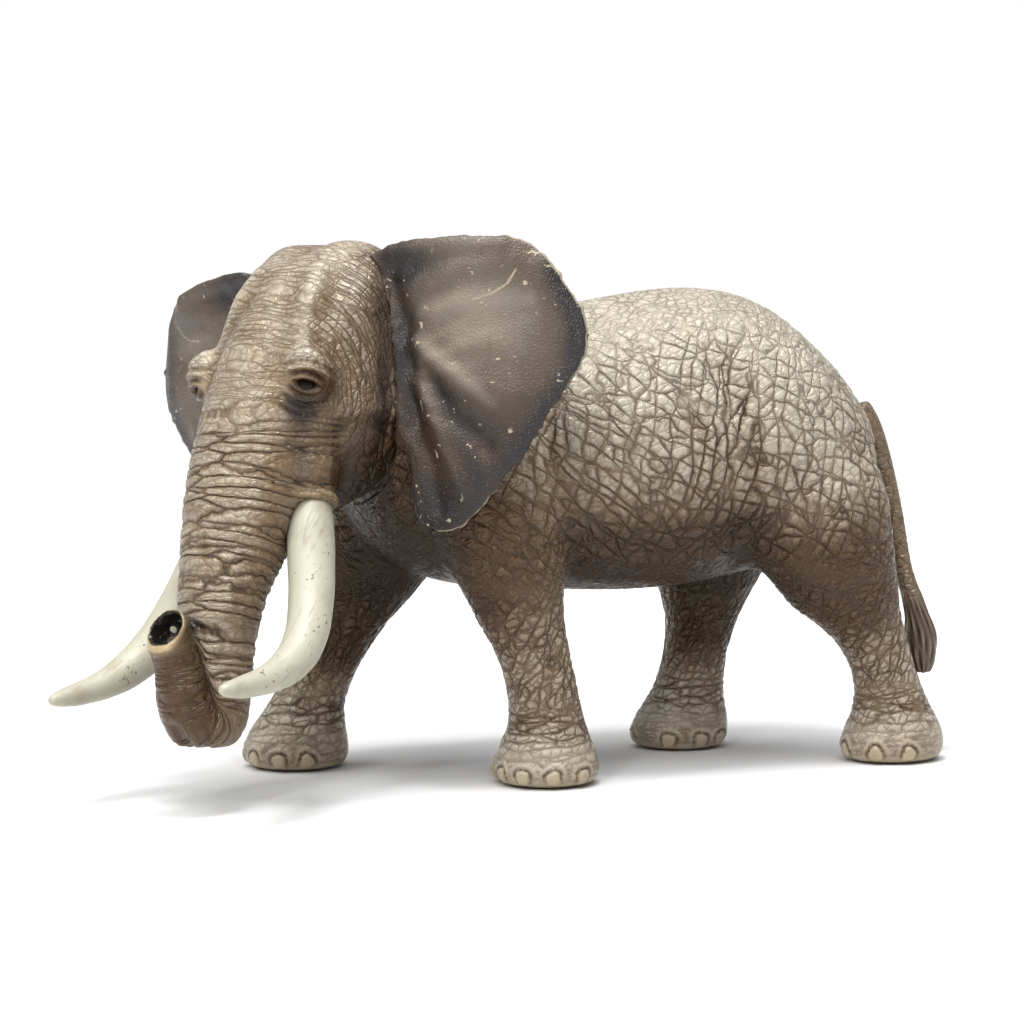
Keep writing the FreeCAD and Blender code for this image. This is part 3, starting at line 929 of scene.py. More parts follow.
def creased(clay: Clay, places: dict[str, Array], weights: dict[Net, Array],
            share: Array) -> bpy.types.Mesh:
    """Carves the nets into a skin and stores what the paint needs to draw them there again.

    Args:
        clay: the skin; its points move, though never below the floor.
        places: the stored places that nets are laid on, by name.
        weights: how strong each net is at each point.
        share: how much of the depth is cut at each point.

    Returns:
        The carved mesh with the places and the weights.
    """
    smooth = clay.to_mesh("smooth")
    for name, place in places.items():
        give(smooth, name, place)
    clay.push(-carved(measured(smooth, tuple(weights)), weights) * share)
    clay.points[:, 2] = np.maximum(clay.points[:, 2], 0.0)
    mesh = clay.to_mesh("skin")
    for name, values in (places | {net.weight_name: weight for net, weight in weights.items()}).items():
        give(mesh, name, values)
    return mesh


@dataclass(frozen=True)
class Drape:
    """The place as the long folds see it, sagging with the belly and curling round the haunch.

    Height loses sag (1 - exp(-d^2 / spread)) for the distance d along the body from the belly's
    middle, and length gains a wave and a bend of the height.
    """

    belly: float = 2.0
    sag: float = 9.0
    spread: float = 800.0
    wave: float = 4.5
    wave_middle: float = 58.0
    wave_length: float = 13.0
    bend: float = 0.006
    bend_middle: float = 60.0

    def over(self, points: Array) -> Array:
        """The bent places of points in the maker's millimetres."""
        x, y, z = points.T
        sag = self.sag * (1.0 - np.exp(-((y - self.belly) ** 2) / self.spread))
        lean = self.wave * np.sin((z - self.wave_middle) / self.wave_length)
        lean = lean + self.bend * (z - self.bend_middle) ** 2
        return np.column_stack([x, y + lean, z - sag])


@dataclass(frozen=True)
class Foot:
    """A round foot with toenails at angles from straight ahead towards the animal's left."""

    centre: tuple[float, float]
    nails: tuple[float, ...]
    nail_half: tuple[float, float] = (1.35, 1.25)
    nail_height: float = 2.5
    fold_gap: float = 1.0

    def over(self, points: Array) -> tuple[Array, Array, Array]:
        """The nails' relief, their paint, and the dark gap around them.

        Across the nail t and up it h, each over the nail's half size, give r = sqrt(t^2 + h^2): the
        nail is where r is under 1, then a gap, then an arched fold that fades below the nail.

        Args:
            points: the places.

        Returns:
            Height in millimetres, share of nail paint, and share of dark gap.
        """
        height = np.zeros(len(points))
        paint = np.zeros(len(points))
        gap = np.zeros(len(points))
        for degrees in self.nails:
            angle = math.radians(degrees)
            ahead = np.array([math.sin(angle), -math.cos(angle)])
            across = np.array([math.cos(angle), math.sin(angle)])
            flat = points[:, :2] - np.array(self.centre)
            near = ease(flat @ ahead, 5.0, 7.0)
            t = (flat @ across) / self.nail_half[0]
            h = (points[:, 2] - self.nail_height) / self.nail_half[1]
            r = np.sqrt(t**2 + np.where(h > 0, h, h * 0.55) ** 2) * (
                1.0 + 0.09 * np.sin(3.0 * np.arctan2(h, t) + degrees) + 0.05 * np.sin(7.0 * t + 5.0 * h))
            inside = (1.0 - ease(r, 0.80, 1.12)) * near
            outer = 1.0 + self.fold_gap / self.nail_half[1]
            arch = np.exp(-(((r - outer) / 0.30) ** 2)) * ease(h, -0.9, 0.9) * near
            groove = np.exp(-(((r - 1.28) / 0.16) ** 2)) * near
            height += 0.34 * inside + 0.22 * arch - 0.12 * groove
            paint = np.maximum(paint, np.maximum(inside, arch * 0.42))
            gap = np.maximum(gap, groove * ease(h, -1.0, 0.6))
        return height, paint, gap


# ------------------------------------------------------------------ body
@dataclass
class Torso:
    """The body and legs: one modelled skin, parted along the middle plane into its two mouldings."""

    voxel: float = 0.905
    neck_overlap: float = 6.0
    settle_steps: int = 29
    right_stagger: float = -6.0     # how much further forward the right shoulder and haunch lie
    feet: tuple[Foot, ...] = (
        Foot((18.2, -19.4), (8.0, 41.0, 77.0, 116.0, -26.0)),
        Foot((-18.0, -59.5), (-53.0, -17.0, 19.0, 53.0, 87.0)),
        Foot((15.0, 56.6), (0.0, 44.0, 87.0, -40.0)),
        Foot((-15.4, 22.6), (-48.0, -6.0, 54.0, 98.0)),
    )
    spine: tuple = (
        Ridge(((0, -36, 90), (0, -14, 92), (0, 4, 95), (0, 20, 96), (0, 33, 92), (0, 46, 82)), 4.0, 0.7),
        Ridge(((9, -20, 89), (10, 0, 91), (10, 18, 93), (9, 34, 90), (6, 47, 81)), 2.0, -0.5),
        Ridge(((-9, -20, 89), (-10, 0, 91), (-10, 18, 93), (-9, 34, 90), (-6, 47, 81)), 2.0, -0.5),
    )
    flank: tuple = (
        Mound((22, -34, 60), (9, 9, 14), 1.1),
        Mound((20, -32, 78), (9, 9, 7), 0.7),
        Ridge(((22, -20, 82), (24, -20.5, 72), (25, -18.5, 60), (22, -15.5, 48), (18.5, -13, 41)),
              2.5, -1.0),
        Mound((24, 36, 58), (8, 13, 15), 1.0),
        Ridge(((24, 17, 80), (25.5, 21, 68), (25, 22, 56), (19, 22, 44), (14, 22, 38)), 3.6, -1.1),
        Mound((22.5, 19.5, 47), (6, 5, 5), -1.2),
        Ridge(((19.2, -9, 44), (20, 4, 42), (19, 15, 43)), 2.2, 0.4),
        Ridge(((17, -10, 39), (15, 4, 37.5), (14, 16, 39)), 2.0, -0.5),
        Mound((26, 0, 58), (7, 12, 12), 0.6),
        Mound((23, 50, 56), (8, 6, 10), 0.5),
        Ridge(((20, 46, 66), (23, 48, 56), (23, 50, 44), (20, 49, 36)), 3.0, -0.4),
    )
    limbs: tuple = (
        Mound((17.5, -30.5, 33), (6, 4, 5), 0.5),
        Mound((17.0, -14, 33), (6, 4, 6), -0.3),
        Mound((15.5, 36.5, 33), (7, 5, 5), 0.7),
        Mound((15.0, 57.5, 24), (5, 4, 6), 0.5),
        Mound((18.0, -30.0, 12), (12, 16, 2.2), -0.25),
    )
    light_spots: tuple = (Mound((26, 36, 60), (12, 14, 16), 0.42), Mound((26, -2, 62), (10, 16, 10), 0.25))
    # Warm brown: a painted shadow of the ear on the shoulder, and brown paint on the hind thigh.
    warm_spots: tuple = (Mound((25, -36, 56), (8, 9, 9), 0.75), Mound((18, 46, 36), (10, 14, 12), 0.42))
    # Dark in the groove behind the shoulder and the hollow before the haunch, dark paint with painted
    # shade; and painted shade on the throat under the head.
    dark_spots: tuple = (
        Ridge(((24, -17, 70), (25, -15, 60), (22, -12, 48), (20, -9, 43)), 5.5, 0.38),
        Mound((22.5, 20, 46), (8, 8, 8), 0.6),
        Mound((10, -54, 55), (16, 9, 18), 0.15),
    )
    # Painted shade under the tail's root.
    under_tail: Mound = Mound((0, 56, 66), (9, 6, 14), 0.5)

    def build(self) -> dict[str, bpy.types.Mesh]:
        """Models the skin and parts it into the two halves.

        Returns:
            The finished meshes by CAD node.
        """
        clay = Clay.cast(["body_left_half", "body_right_half", "head"], self.voxel)
        clay = clay.kept((clay.points - NECK_SEAM) @ NECK_NORMAL < self.neck_overlap)
        clay.points = clay.relaxed(self.settle_steps, FULL_SHARE)
        clay.push(self.form(clay.points))
        clay = clay.refined()
        feet = [foot.over(clay.points) for foot in self.feet]
        nails, nail_paint, gap = (sum(part) for part in zip(*feet))
        sole = ease(clay.points[:, 2], 0.5, 1.6)
        clay.push(nails * sole)
        flow = {"flow": Drape().over(clay.points)}
        mesh = creased(clay, flow, self.weights(clay, nail_paint), sole)
        paint, extra = self.paint(clay, nail_paint, gap)
        give(mesh, "paint", paint)
        give(mesh, "extra", extra)
        middle, left = np.zeros(3), np.array([1.0, 0.0, 0.0])
        return {
            "body_left_half": parted(mesh, [(NECK_SEAM, NECK_NORMAL), (middle, -left)], "body_left"),
            "body_right_half": parted(mesh, [(NECK_SEAM, NECK_NORMAL), (middle, left)], "body_right"),
        }

    def mirrored(self, points: Array) -> Array:
        """The points with both sides laid on the left one."""
        stagger = np.where(points[:, 0] < 0, self.right_stagger, 0.0) * ease(abs(points[:, 0]), 2.0, 9.0)
        return np.column_stack([abs(points[:, 0]), points[:, 1] - stagger, points[:, 2]])

    def form(self, points: Array) -> Array:
        """The muscles, hollows and folds that stand on the plain form, in millimetres."""
        return relief_of(self.spine, points) + relief_of(self.flank + self.limbs, self.mirrored(points))

    def weights(self, clay: Clay, nail: Array) -> dict[Net, Array]:
        """How strong each net of creases is."""
        z = clay.points[:, 2]
        up = clay.normals()[:, 2]
        skin = (1.0 - np.clip(nail * 1.6, 0.0, 1.0)) * ease(z, 0.6, 2.0)
        leg = ease(z, 45.0, 33.0)
        ankle = ease(z, 18.5, 13.0)
        foot = ease(z, 11.0, 6.0)
        top = ease(up, 0.62, 0.95) * ease(z, 60.0, 80.0)
        torso = (1.0 - leg) * skin
        bundle = mound(self.mirrored(clay.points), (24, 16, 64), (12, 9, 18))
        return {
            Net.RISING: torso * (0.72 + 0.45 * bundle) * (1.0 - 0.55 * top),
            Net.FALLING: torso * (0.92 - 0.50 * top),
            Net.FINE: skin * (0.42 + 0.4 * top + 0.30 * leg - 0.38 * foot),
            Net.LEG: skin * leg * (1.0 - ankle) * 0.95,
            Net.ANKLE: skin * ankle * (1.0 - 0.60 * foot) * 0.95,
        }

    def paint(self, clay: Clay, nail: Array, gap: Array) -> tuple[Array, Array]:
        """Where each coat of paint lies; these also carry painted shade and highlight.

        Args:
            clay: the finished skin.
            nail: share of nail paint.
            gap: share of dark gap around the nails.

        Returns:
            The dark, light and warm shares, and the worn, hollow (painted shade) and black shares.
        """
        z = clay.points[:, 2]
        hollow = clay.hollow(HOLLOW_STEPS)
        *paint_and_shade, shadow = self.paint_and_shade(clay.points, clay.normals(), hollow)
        paint = np.column_stack(paint_and_shade)
        worn = nail * 0.42 + 0.4 * ease(z, 2.2, 0.9) * ease(z, -0.1, 0.6)
        # Painted shade: in recesses, in the groove around each nail, on the throat, under the belly and on
        # the inner faces of the legs.
        hollows = np.clip(hollow * 2.8, 0.0, 1.0) + gap * 0.22 + shadow
        return np.clip(paint, 0.0, 1.0), np.clip(np.column_stack([worn, hollows, 0.0 * z]), 0.0, 1.0)

    def paint_and_shade(self, points: Array, normal: Array, hollow: Array) -> tuple[Array, Array, Array, Array]:
        """The dark, light, warm and shadow shares at places on the body and neck.

        Args:
            points: places in the maker's millimetres.
            normal: the skin's direction there.
            hollow: how far the skin dips there.

        Returns:
            The four shares, not yet kept between 0 and 1.
        """
        x, y, z = points.T
        up = normal[:, 2]
        broad = self.mirrored(points)
        inward = ease(-normal[:, 0] * np.sign(x), 0.0, 0.7) * ease(z, 55.0, 44.0) * ease(z, 15.0, 24.0)
        # Lighter higher up and on upward faces: dry-brush paint with painted highlight from overhead; less
        # on the inner faces of the legs and in recesses, painted shade.
        light = 0.66 * ease(z, 46.0, 86.0) + 0.50 * ease(up, 0.0, 0.95) + relief_of(self.light_spots, broad)
        light += 0.13 * ease(z, 16.0, 6.0) + 0.25 * ease(z, 46.0, 24.0) - 0.35 * inward
        light -= 2.2 * np.clip(hollow, -0.12, 0.3) + 0.07
        # Warm brown: painted shade on downward faces and the inner faces of the legs, brown paint on the
        # lower body and at the spots.
        warm = 0.85 * ease(z, 60.0, 40.0) * ease(z, 12.0, 42.0) * ease(up, 0.35, -0.5) + 0.75 * inward
        warm += 0.38 * ease(z, 66.0, 46.0) * ease(z, 20.0, 48.0) + relief_of(self.warm_spots, broad)
        # Painted shade under the head, on the chest and throat.
        warm += 1.1 * ease(y, -40.0, -50.0) * ease(z, 78.0, 66.0) * ease(z, 30.0, 42.0)
        dark = relief_of(self.dark_spots, broad) + self.under_tail.over(points) + 0.10 * ease(z, 15.0, 7.0)
        throat = ease(up, 0.3, -0.6) * ease(y, -34.0, -46.0) * ease(z, 80.0, 66.0) * ease(z, 26.0, 40.0)
        belly = ease(up, 0.1, -0.7) * ease(z, 62.0, 46.0) * ease(z, 28.0, 36.0)
        shadow = 0.95 * throat + 0.60 * belly + 0.40 * inward
        return dark, light, warm, shadow


# ------------------------------------------------------------------ head
@dataclass(frozen=True)
class EyeSeat:
    """The flat frame in which an eye's opening and lids are drawn, on the head's left side."""

    centre: Triple = (0.8, 15.2, 0.6)
    outward: Triple = (0.72, 0.69, 0.0)
    forward: Triple = (0.66, -0.69, 0.29)
    ball_radius: float = 2.0
    ball_depth: float = 2.45
    half_width: float = 2.3

    def surface(self, points: Array) -> float:
        """How far the skin stands out of the flat frame in the middle of the eye."""
        p, q, r = self.flat(points)
        middle = (abs(p) < 0.8) & (abs(q) < 0.8) & (abs(r) < 5.0)
        return float(np.median(r[middle]))

    def flat(self, points: Array) -> tuple[Array, Array, Array]:
        """The place on the flat frame: towards the inner corner, up, and out of the head."""
        out, ahead = np.array(self.outward), np.array(self.forward)
        up = np.cross(ahead, out)
        up *= np.sign(up[2])
        offset = points - np.array(self.centre)
        return offset @ ahead, offset @ up, offset @ out

    def over(self, points: Array) -> tuple[Array, Array, Array]:
        """The eye's opening, lids and folds.

        Each fold is a parabola over the opening, q = top (1 - (p / reach)^2), and stands where the
        height q over it is near 0.

        Args:
            points: places in the head's frame, mirrored to its left side.

        Returns:
            Height in millimetres, share of dark paint, and share of opening.
        """
        p, q, r = self.flat(points)
        near = ease(np.sqrt(p**2 + q**2 + (0.8 * r) ** 2), 9.5, 6.5)
        shape = np.clip(1.0 - (p / self.half_width) ** 2, -0.6, 1.0)
        opening = (1.0 - ease(abs(q + 0.10) - 0.85 * shape, -0.30, 0.20)) * near

        def arch(top: float, reach: float, width: float, lift: float) -> Array:
            curve = lift + top * (1.0 - (p / reach) ** 2)
            return np.exp(-(((q - curve) / width) ** 2)) * ease(abs(p), reach * 1.15, reach * 0.75) * near

        height = -1.9 * opening
        height += 0.75 * arch(0.95, 2.9, 0.45, 0.40) - 0.50 * arch(1.15, 3.3, 0.32, 1.05)
        height += 0.60 * arch(1.3, 4.2, 0.70, 1.75) - 0.22 * arch(1.5, 4.6, 0.36, 2.85)
        height += 0.25 * arch(1.5, 5.2, 0.90, 3.7)
        height += 0.42 * arch(-0.85, 2.8, 0.42, -0.45) - 0.34 * arch(-1.0, 3.2, 0.30, -1.15)
        height += 0.22 * arch(-1.2, 3.8, 0.45, -1.75) - 0.24 * arch(-1.3, 4.0, 0.30, -2.5)
        height += 0.14 * arch(-1.5, 4.4, 0.45, -3.1) - 0.20 * arch(-1.6, 4.6, 0.30, -3.9)
        shade = np.exp(-(((p - 0.6) / 3.6) ** 2) - ((q + 4.2) / 2.6) ** 2)
        shade = shade * ease(np.sqrt(p**2 + q**2 + r**2), 12.0, 8.0)
        return height, shade, opening

    def ball(self, side: int, skin: float, rings: int = 24, spokes: int = 36) -> bpy.types.Mesh:
        """The eyeball: a sphere whose poles look out of and into the head.

        A point at turn v around the outward axis and angle w from it is the centre plus radius times
        (cos w, sin w cos v, sin w sin v) along outward, forward and up.

        Args:
            side: 1 for the left eye, -1 for the right one.
            skin: how far the skin stands out of the flat frame there.
            rings: circles around the outward axis.
            spokes: points on each circle.

        Returns:
            The closed mesh.
        """
        out, ahead = np.array(self.outward), np.array(self.forward)
        up = np.cross(ahead, out)
        w = np.linspace(0.0, math.pi, rings + 1)[1:-1, None]
        v = np.linspace(0.0, 2.0 * math.pi, spokes, endpoint=False)[None, :]
        grid = (np.cos(w) * np.ones_like(v), np.sin(w) * np.cos(v), np.sin(w) * np.sin(v))
        unit = sum(part[..., None] * axis for part, axis in zip(grid, (out, ahead, up))).reshape(-1, 3)
        unit = np.vstack([out, unit, -out])
        points = np.array(self.centre) + out * (skin - self.ball_depth) + unit * self.ball_radius
        points[:, 1] *= side
        ring, spoke = np.meshgrid(np.arange(rings - 2), np.arange(spokes), indexing="ij")
        ahead_of = (spoke + 1) % spokes
        first = 1 + ring * spokes
        corners = (spoke, ahead_of, spokes + ahead_of, spokes + spoke)
        faces = np.stack([first + corner for corner in corners], -1).reshape(-1, 4).tolist()
        rim, turn = np.arange(spokes), (np.arange(spokes) + 1) % spokes
        last = 1 + (rings - 2) * spokes
        caps = [(0, int(b) + 1, int(a) + 1) for a, b in zip(rim, turn)]
        caps += [(len(points) - 1, last + int(a), last + int(b)) for a, b in zip(rim, turn)]
        mesh = bpy.data.meshes.new("eyeball")
        mesh.from_pydata(STANCE.to_row(HEAD.outside(points)).tolist(), [], faces + caps)
        form = bmesh.new()
        form.from_mesh(mesh)
        bmesh.ops.recalc_face_normals(form, faces=form.faces)
        form.to_mesh(mesh)
        form.free()
        give(mesh, "run", np.arccos(np.clip(unit @ out, -1.0, 1.0)) * self.ball_radius)
        return mesh


@dataclass
class HeadForm:
    """The head with its face, trunk and jaw, in front of the neck's glue face."""

    voxel: float = 0.78
    neck_overlap: float = 6.0
    settle_steps: int = 17
    eye: EyeSeat = field(default_factory=EyeSeat)
    eye_skin: float = 0.0
    # Line down the middle of forehead, face and trunk: forward and height in the head's frame.
    spine: tuple[tuple[float, float], ...] = (
        (-30, 34), (-20, 27), (-9, 17), (-1, 5), (2, -5), (3, -15), (6, -25), (9.5, -35), (12.2, -45),
        (13.6, -54), (14.8, -59.3), (18, -60.6), (22, -58.8), (23.8, -53.6), (24.7, -47.4), (26.8, -41.8),
        (31.0, -39.0),
    )
    hanging: int = 10               # how many of that line's pieces hang down
    trunk_girth: float = 7.0
    curl_girth: float = 4.3
    curl_start: float = 116.0       # length along that line where the trunk has turned up
    tip: Triple = (26.8, 0.0, -41.8)
    tip_heading: Triple = (0.829, 0.0, 0.559)
    rim_height: float = 0.75
    sheath_axis: tuple = ((-4.4, 9.6, -16.0), (-3.2, 10.4, -22.4), (-0.6, 12.4, -28.0))
    middle_forms: tuple = (
        Ridge(((-22, 0, 27), (-12, 0, 21), (-5, 0, 13)), 2.6, -0.6),
        Ridge(((14, 0, -65), (20, 0, -65), (26, 0, -61)), 1.5, -0.9),
        Mound((28.5, 0, -46), (3, 3.5, 8), -0.3),
    )
    side_forms: tuple = (
        Mound((-19, 7, 26), (6, 5, 4), 1.5),
        Mound((-25, 9, 24), (5, 5, 5), 0.8),
        Ridge(((-1, 11.6, 9), (-6, 9.8, 15.5), (-13, 7.6, 21.5)), 2.8, 1.1),
        Ridge(((1, 8.4, 4), (-4, 6.0, 12), (-10, 4.2, 19)), 3.4, -0.9),
        Ridge(((-5, 14.5, 10), (-9, 13.2, 15.5), (-14, 12, 20)), 2.8, -0.8),
        Mound((-0.5, 13.5, 6.4), (4, 3.5, 2.2), 0.5),
        Mound((1.2, 15.4, 0.8), (4.6, 4.5, 4.4), -1.2),
        Mound((-2.5, 12.5, 9.0), (5, 4.5, 4), 0.6),
        Mound((-0.5, 12.8, -7.5), (5, 4.5, 4), 0.9),
        Mound((-12, 16, 7), (5, 4, 6), -0.9),
        Ridge(((-4, 15.8, -5), (-11, 17.3, -5), (-18, 17, -4)), 2.6, 0.8),
        Mound((-12, 15.5, -13), (5, 4, 4.5), 0.6),
        Ridge(((-8, 14.5, -9), (-10, 13.5, -16), (-12, 11.5, -21)), 1.6, -0.5),
        Ridge(((-19, 16.5, 12), (-20, 17, 2), (-19.5, 16.5, -10)), 2.0, -0.7),
        Ridge(((4, 10.5, 1), (8, 10.6, -9), (12, 10.2, -19), (15.5, 8.6, -30), (18, 6.8, -42)), 1.4, 0.5),
        Ridge(((-1, 13, -3.5), (1, 12.8, -10), (0, 12, -16)), 2.4, -0.5),
        Mound((-2.8, 12.2, -14.5), (4, 4, 4), 0.5),
        Mound((22, 3.4, -63), (4, 2.6, 3), 0.7),
    )
    lip_forms: tuple = (
        Mound((29.4, 0.0, -45.2), (2.0, 3.2, 1.6), 0.8),
        Mound((29.6, 0.0, -50.0), (2.5, 3.0, 2.5), -0.30),
    )
    light_spots: tuple = (Mound((-2, 12.6, 8), (5, 4, 5), 0.35), Mound((-13, 16, 8), (9, 5, 9), 0.3))
    # Dark in the grooves of the face, at the ear's root and on the lower cheek: dark paint with painted
    # shade in the grooves.
    dark_spots: tuple = (
        Mound((-19, 17, -9), (5, 5, 11), 0.85),
        Ridge(((-3, 7.8, 9), (-8, 5.6, 16), (-14, 4, 21.5)), 2.4, 0.42),
        Ridge(((-21, 17, 16), (-21, 17, 0), (-20, 17, -12)), 3.2, 0.6),
        Ridge(((-0.5, 13, -5), (1, 12.5, -10), (0, 12, -15)), 3.4, 0.32),
        Mound((-13, 15.5, -12), (9, 7, 8), 0.40),
    )
    eye_hole: Mound = Mound((0.8, 15.2, 0), (4, 4, 3), 0.6)
    eye_brown: Mound = Mound((0.6, 15.4, 0.4), (3.6, 4, 2.8), 0.75)
    lip_edge: Mound = Mound((29.8, 0.0, -44.9), (2.4, 3.6, 1.5), 1.2)
    rubbed_edge: Ridge = Ridge(
        ((-12, 9, 20), (-4, 10.6, 8), (4, 11.0, -2), (10, 10.8, -14), (15.5, 9, -30), (18.5, 7, -44)),
        1.1, 1.0)

    def build(self) -> bpy.types.Mesh:
        """Models the head's skin."""
        clay = Clay.cast(["body_left_half", "body_right_half", "head"], self.voxel)
        clay = clay.kept((clay.points - NECK_SEAM) @ NECK_NORMAL > -self.neck_overlap)
        local = HEAD.inside(clay.points)
        sheath = mound(self.sided(local), (-3.2, 10.4, -21), (6, 6, 4))
        firm = np.clip(np.maximum(mound(local, self.tip, (6, 7, 6)), sheath) * 1.5, 0.0, 1.0)
        clay.points = clay.relaxed(self.settle_steps, FULL_SHARE * (1.0 - 0.93 * firm) + 0.02)
        local = HEAD.inside(clay.points)
        clay.push(relief_of(self.middle_forms, local) + relief_of(self.side_forms, self.sided(local)))
        clay = clay.refined()
        local = HEAD.inside(clay.points)
        self.eye_skin = self.eye.surface(self.sided(local))
        lids, shade, opening = self.eye.over(self.sided(local))
        clay.push(lids + self.rim(local) + self.lip(local))
        local = HEAD.inside(clay.points)
        wrap = self.wrap(local)
        places = {"wrap": wrap, "flow": Drape().over(clay.points), "swirl": self.swirl(local)}
        mesh = creased(clay, places, self.weights(clay, wrap, opening), np.ones(len(local)))
        paint, extra = self.paint(clay, wrap, shade, opening)
        give(mesh, "paint", paint)
        give(mesh, "extra", extra)
        return parted(mesh, [(NECK_SEAM, -NECK_NORMAL)], "head")

    def sided(self, local: Array) -> Array:
        """Places in the head's frame with both sides laid on the left one."""
        return np.column_stack([local[:, 0], abs(local[:, 1]), local[:, 2]])

    def wrap(self, local: Array) -> Array:
        """Length down the face's middle line, sideways place, and depth behind that line."""
        path = [(forward, 0.0, up) for forward, up in self.spine]
        flat = local * np.array([1.0, 0.0, 1.0])
        girths = np.where(np.arange(len(path) - 1) < self.hanging, self.trunk_girth, self.curl_girth)
        depth, _ = along_path(flat, path, girths)
        return np.column_stack([evened_length(flat, path, girths), local[:, 1], depth])

    def swirl(self, local: Array) -> Array:
        """The place as the wrinkles round an eye see it: distance from it, way round it, and depth."""
        ahead = self.sided(local) - np.array(self.eye.centre)
        turn = np.arctan2(ahead[:, 2], -ahead[:, 0])
        return np.column_stack([np.hypot(ahead[:, 0], 0.9 * ahead[:, 2]), 11.0 * turn, ahead[:, 1]])

    def rim(self, local: Array) -> Array:
        """The raised edge of each tusk's sheath: a ring about the tusk's axis."""
        start, ring, end = (np.array(p) for p in self.sheath_axis)
        axis = (end - start) / np.linalg.norm(end - start)
        offset = self.sided(local) - ring
        along = offset @ axis
        radius = np.linalg.norm(offset - along[:, None] * axis, axis=1)
        return self.rim_height * np.exp(-(((along + 0.9) / 1.1) ** 2)) * ease(radius, 8.0, 6.0)

    def lip(self, local: Array) -> Array:
        """The thick lower lip and the thin upper edge of the trunk's opening."""
        return relief_of(self.lip_forms, local)

    def weights(self, clay: Clay, wrap: Array, opening: Array) -> dict[Net, Array]:
        """How strong each net of creases is."""
        local = self.sided(HEAD.inside(clay.points))
        length, side, depth = wrap.T
        neck = ease((clay.points - NECK_SEAM) @ NECK_NORMAL, 16.0, 4.0)
        skin = (1.0 - np.clip(opening * 2.0, 0.0, 1.0)) * (1.0 - mound(local, self.tip, (5, 5, 5)))
        eye_near = mound(local, (0.8, 15.2, 0.4), (5.0, 5.0, 4.2))
        trunk = ease(length, 44.0, 58.0) * (1.0 - neck) * ease(depth, 13.5, 9.0)
        turned_up = ease(length, self.curl_start - 6.0, self.curl_start + 4.0)
        front_up = turned_up * ease(local[:, 0], 23.0, 26.0)
        face = (1.0 - trunk) * (1.0 - neck)
        temple = face * ease(abs(side), 9.0, 13.0)
        folded = 0.58 * face * (1 - temple) + 0.10 * temple + 0.45 * trunk
        return {
            Net.RINGS: skin * np.clip(trunk * 1.05, 0, 1) * (1.0 - 0.60 * front_up) * (1.0 - eye_near),
            Net.FACE: skin * folded * (1.0 - 0.9 * eye_near),
            Net.TEMPLE: skin * 0.85 * temple * (1.0 - 0.8 * eye_near),
            Net.FINE: skin * (0.30 + 0.22 * temple - 0.25 * front_up) * (1.0 - 0.8 * eye_near),
            Net.RISING: skin * neck * 0.8,
            Net.FALLING: skin * neck * 0.8,
        }

    def mouth(self, local: Array, normal: Array) -> tuple[Array, Array]:
        """The trunk's opening, whose black inside looks towards its own axis.

        Args:
            local: places in the head's frame.
            normal: the skin's direction in that frame.

        Returns:
            Share of gloss black, and share of worn edge around it.
        """
        offset, heading = local - np.array(self.tip), np.array(self.tip_heading)
        along = offset @ heading
        away = offset - along[:, None] * heading
        radius = np.linalg.norm(away, axis=1)
        turned = -(normal * away).sum(axis=1) / np.maximum(radius, 0.3)
        black = ease(turned + ease(radius, 2.4, 1.2), -0.05, 0.35)
        black = black * ease(radius, 5.2, 4.4) * ease(abs(along), 7.5, 6.5)
        return black, ease(abs(radius - 4.2), 1.3, 0.5) * ease(along, -1.4, -0.2) * (1.0 - black)

    def paint(self, clay: Clay, wrap: Array, shade: Array, opening: Array) -> tuple[Array, Array]:
        """Where each coat of paint lies; these also carry painted shade and highlight.

        Args:
            clay: the finished skin.
            wrap: length down the face's middle line, sideways place, and depth behind it.
            shade: share of dark paint around the eyes.
            opening: share of the eyes' openings.

        Returns:
            The dark, light and warm shares, and the worn, hollow (painted shade) and black shares.
        """
        local = HEAD.inside(clay.points)
        both = self.sided(local)
        ahead, out, up = both.T
        normal = clay.normals() @ HEAD.axes().T
        length, side, _ = wrap.T
        hollow = clay.hollow(HOLLOW_STEPS)
        front = ease(normal[:, 0] + 0.5 * normal[:, 2], 0.1, 0.9)
        curl = ease(length, self.curl_start - 8.0, self.curl_start + 2.0)
        # Lighter on forward- and upward-facing skin and high on the head: dry-brush paint with painted
        # highlight; less in recesses, painted shade, and around the eye and low on the outer sides.
        light = 0.40 * front * (1.0 - curl) + 0.22 * ease(up, 12.0, 26.0)
        light = 0.85 * (light + relief_of(self.light_spots, both)) - 0.10
        light -= 2.0 * np.clip(hollow, -0.12, 0.3) + self.eye_hole.over(both)
        light -= 0.35 * ease(out, 8.0, 14.0) * ease(up, -4.0, -14.0)
        # Dark under the eyes and in the eye openings, at the dark spots, and painted shade on downward
        # faces under the jaw; the trunk's curl and the outer sides darker.
        dark = 0.85 * shade + 1.2 * opening + relief_of(self.dark_spots, both)
        dark += 0.75 * ease(normal[:, 2], -0.3, -0.8) * ease(ahead, -4.0, -9.0)
        dark += 0.26 * curl + 0.10 * ease(out, 9.0, 14.0)
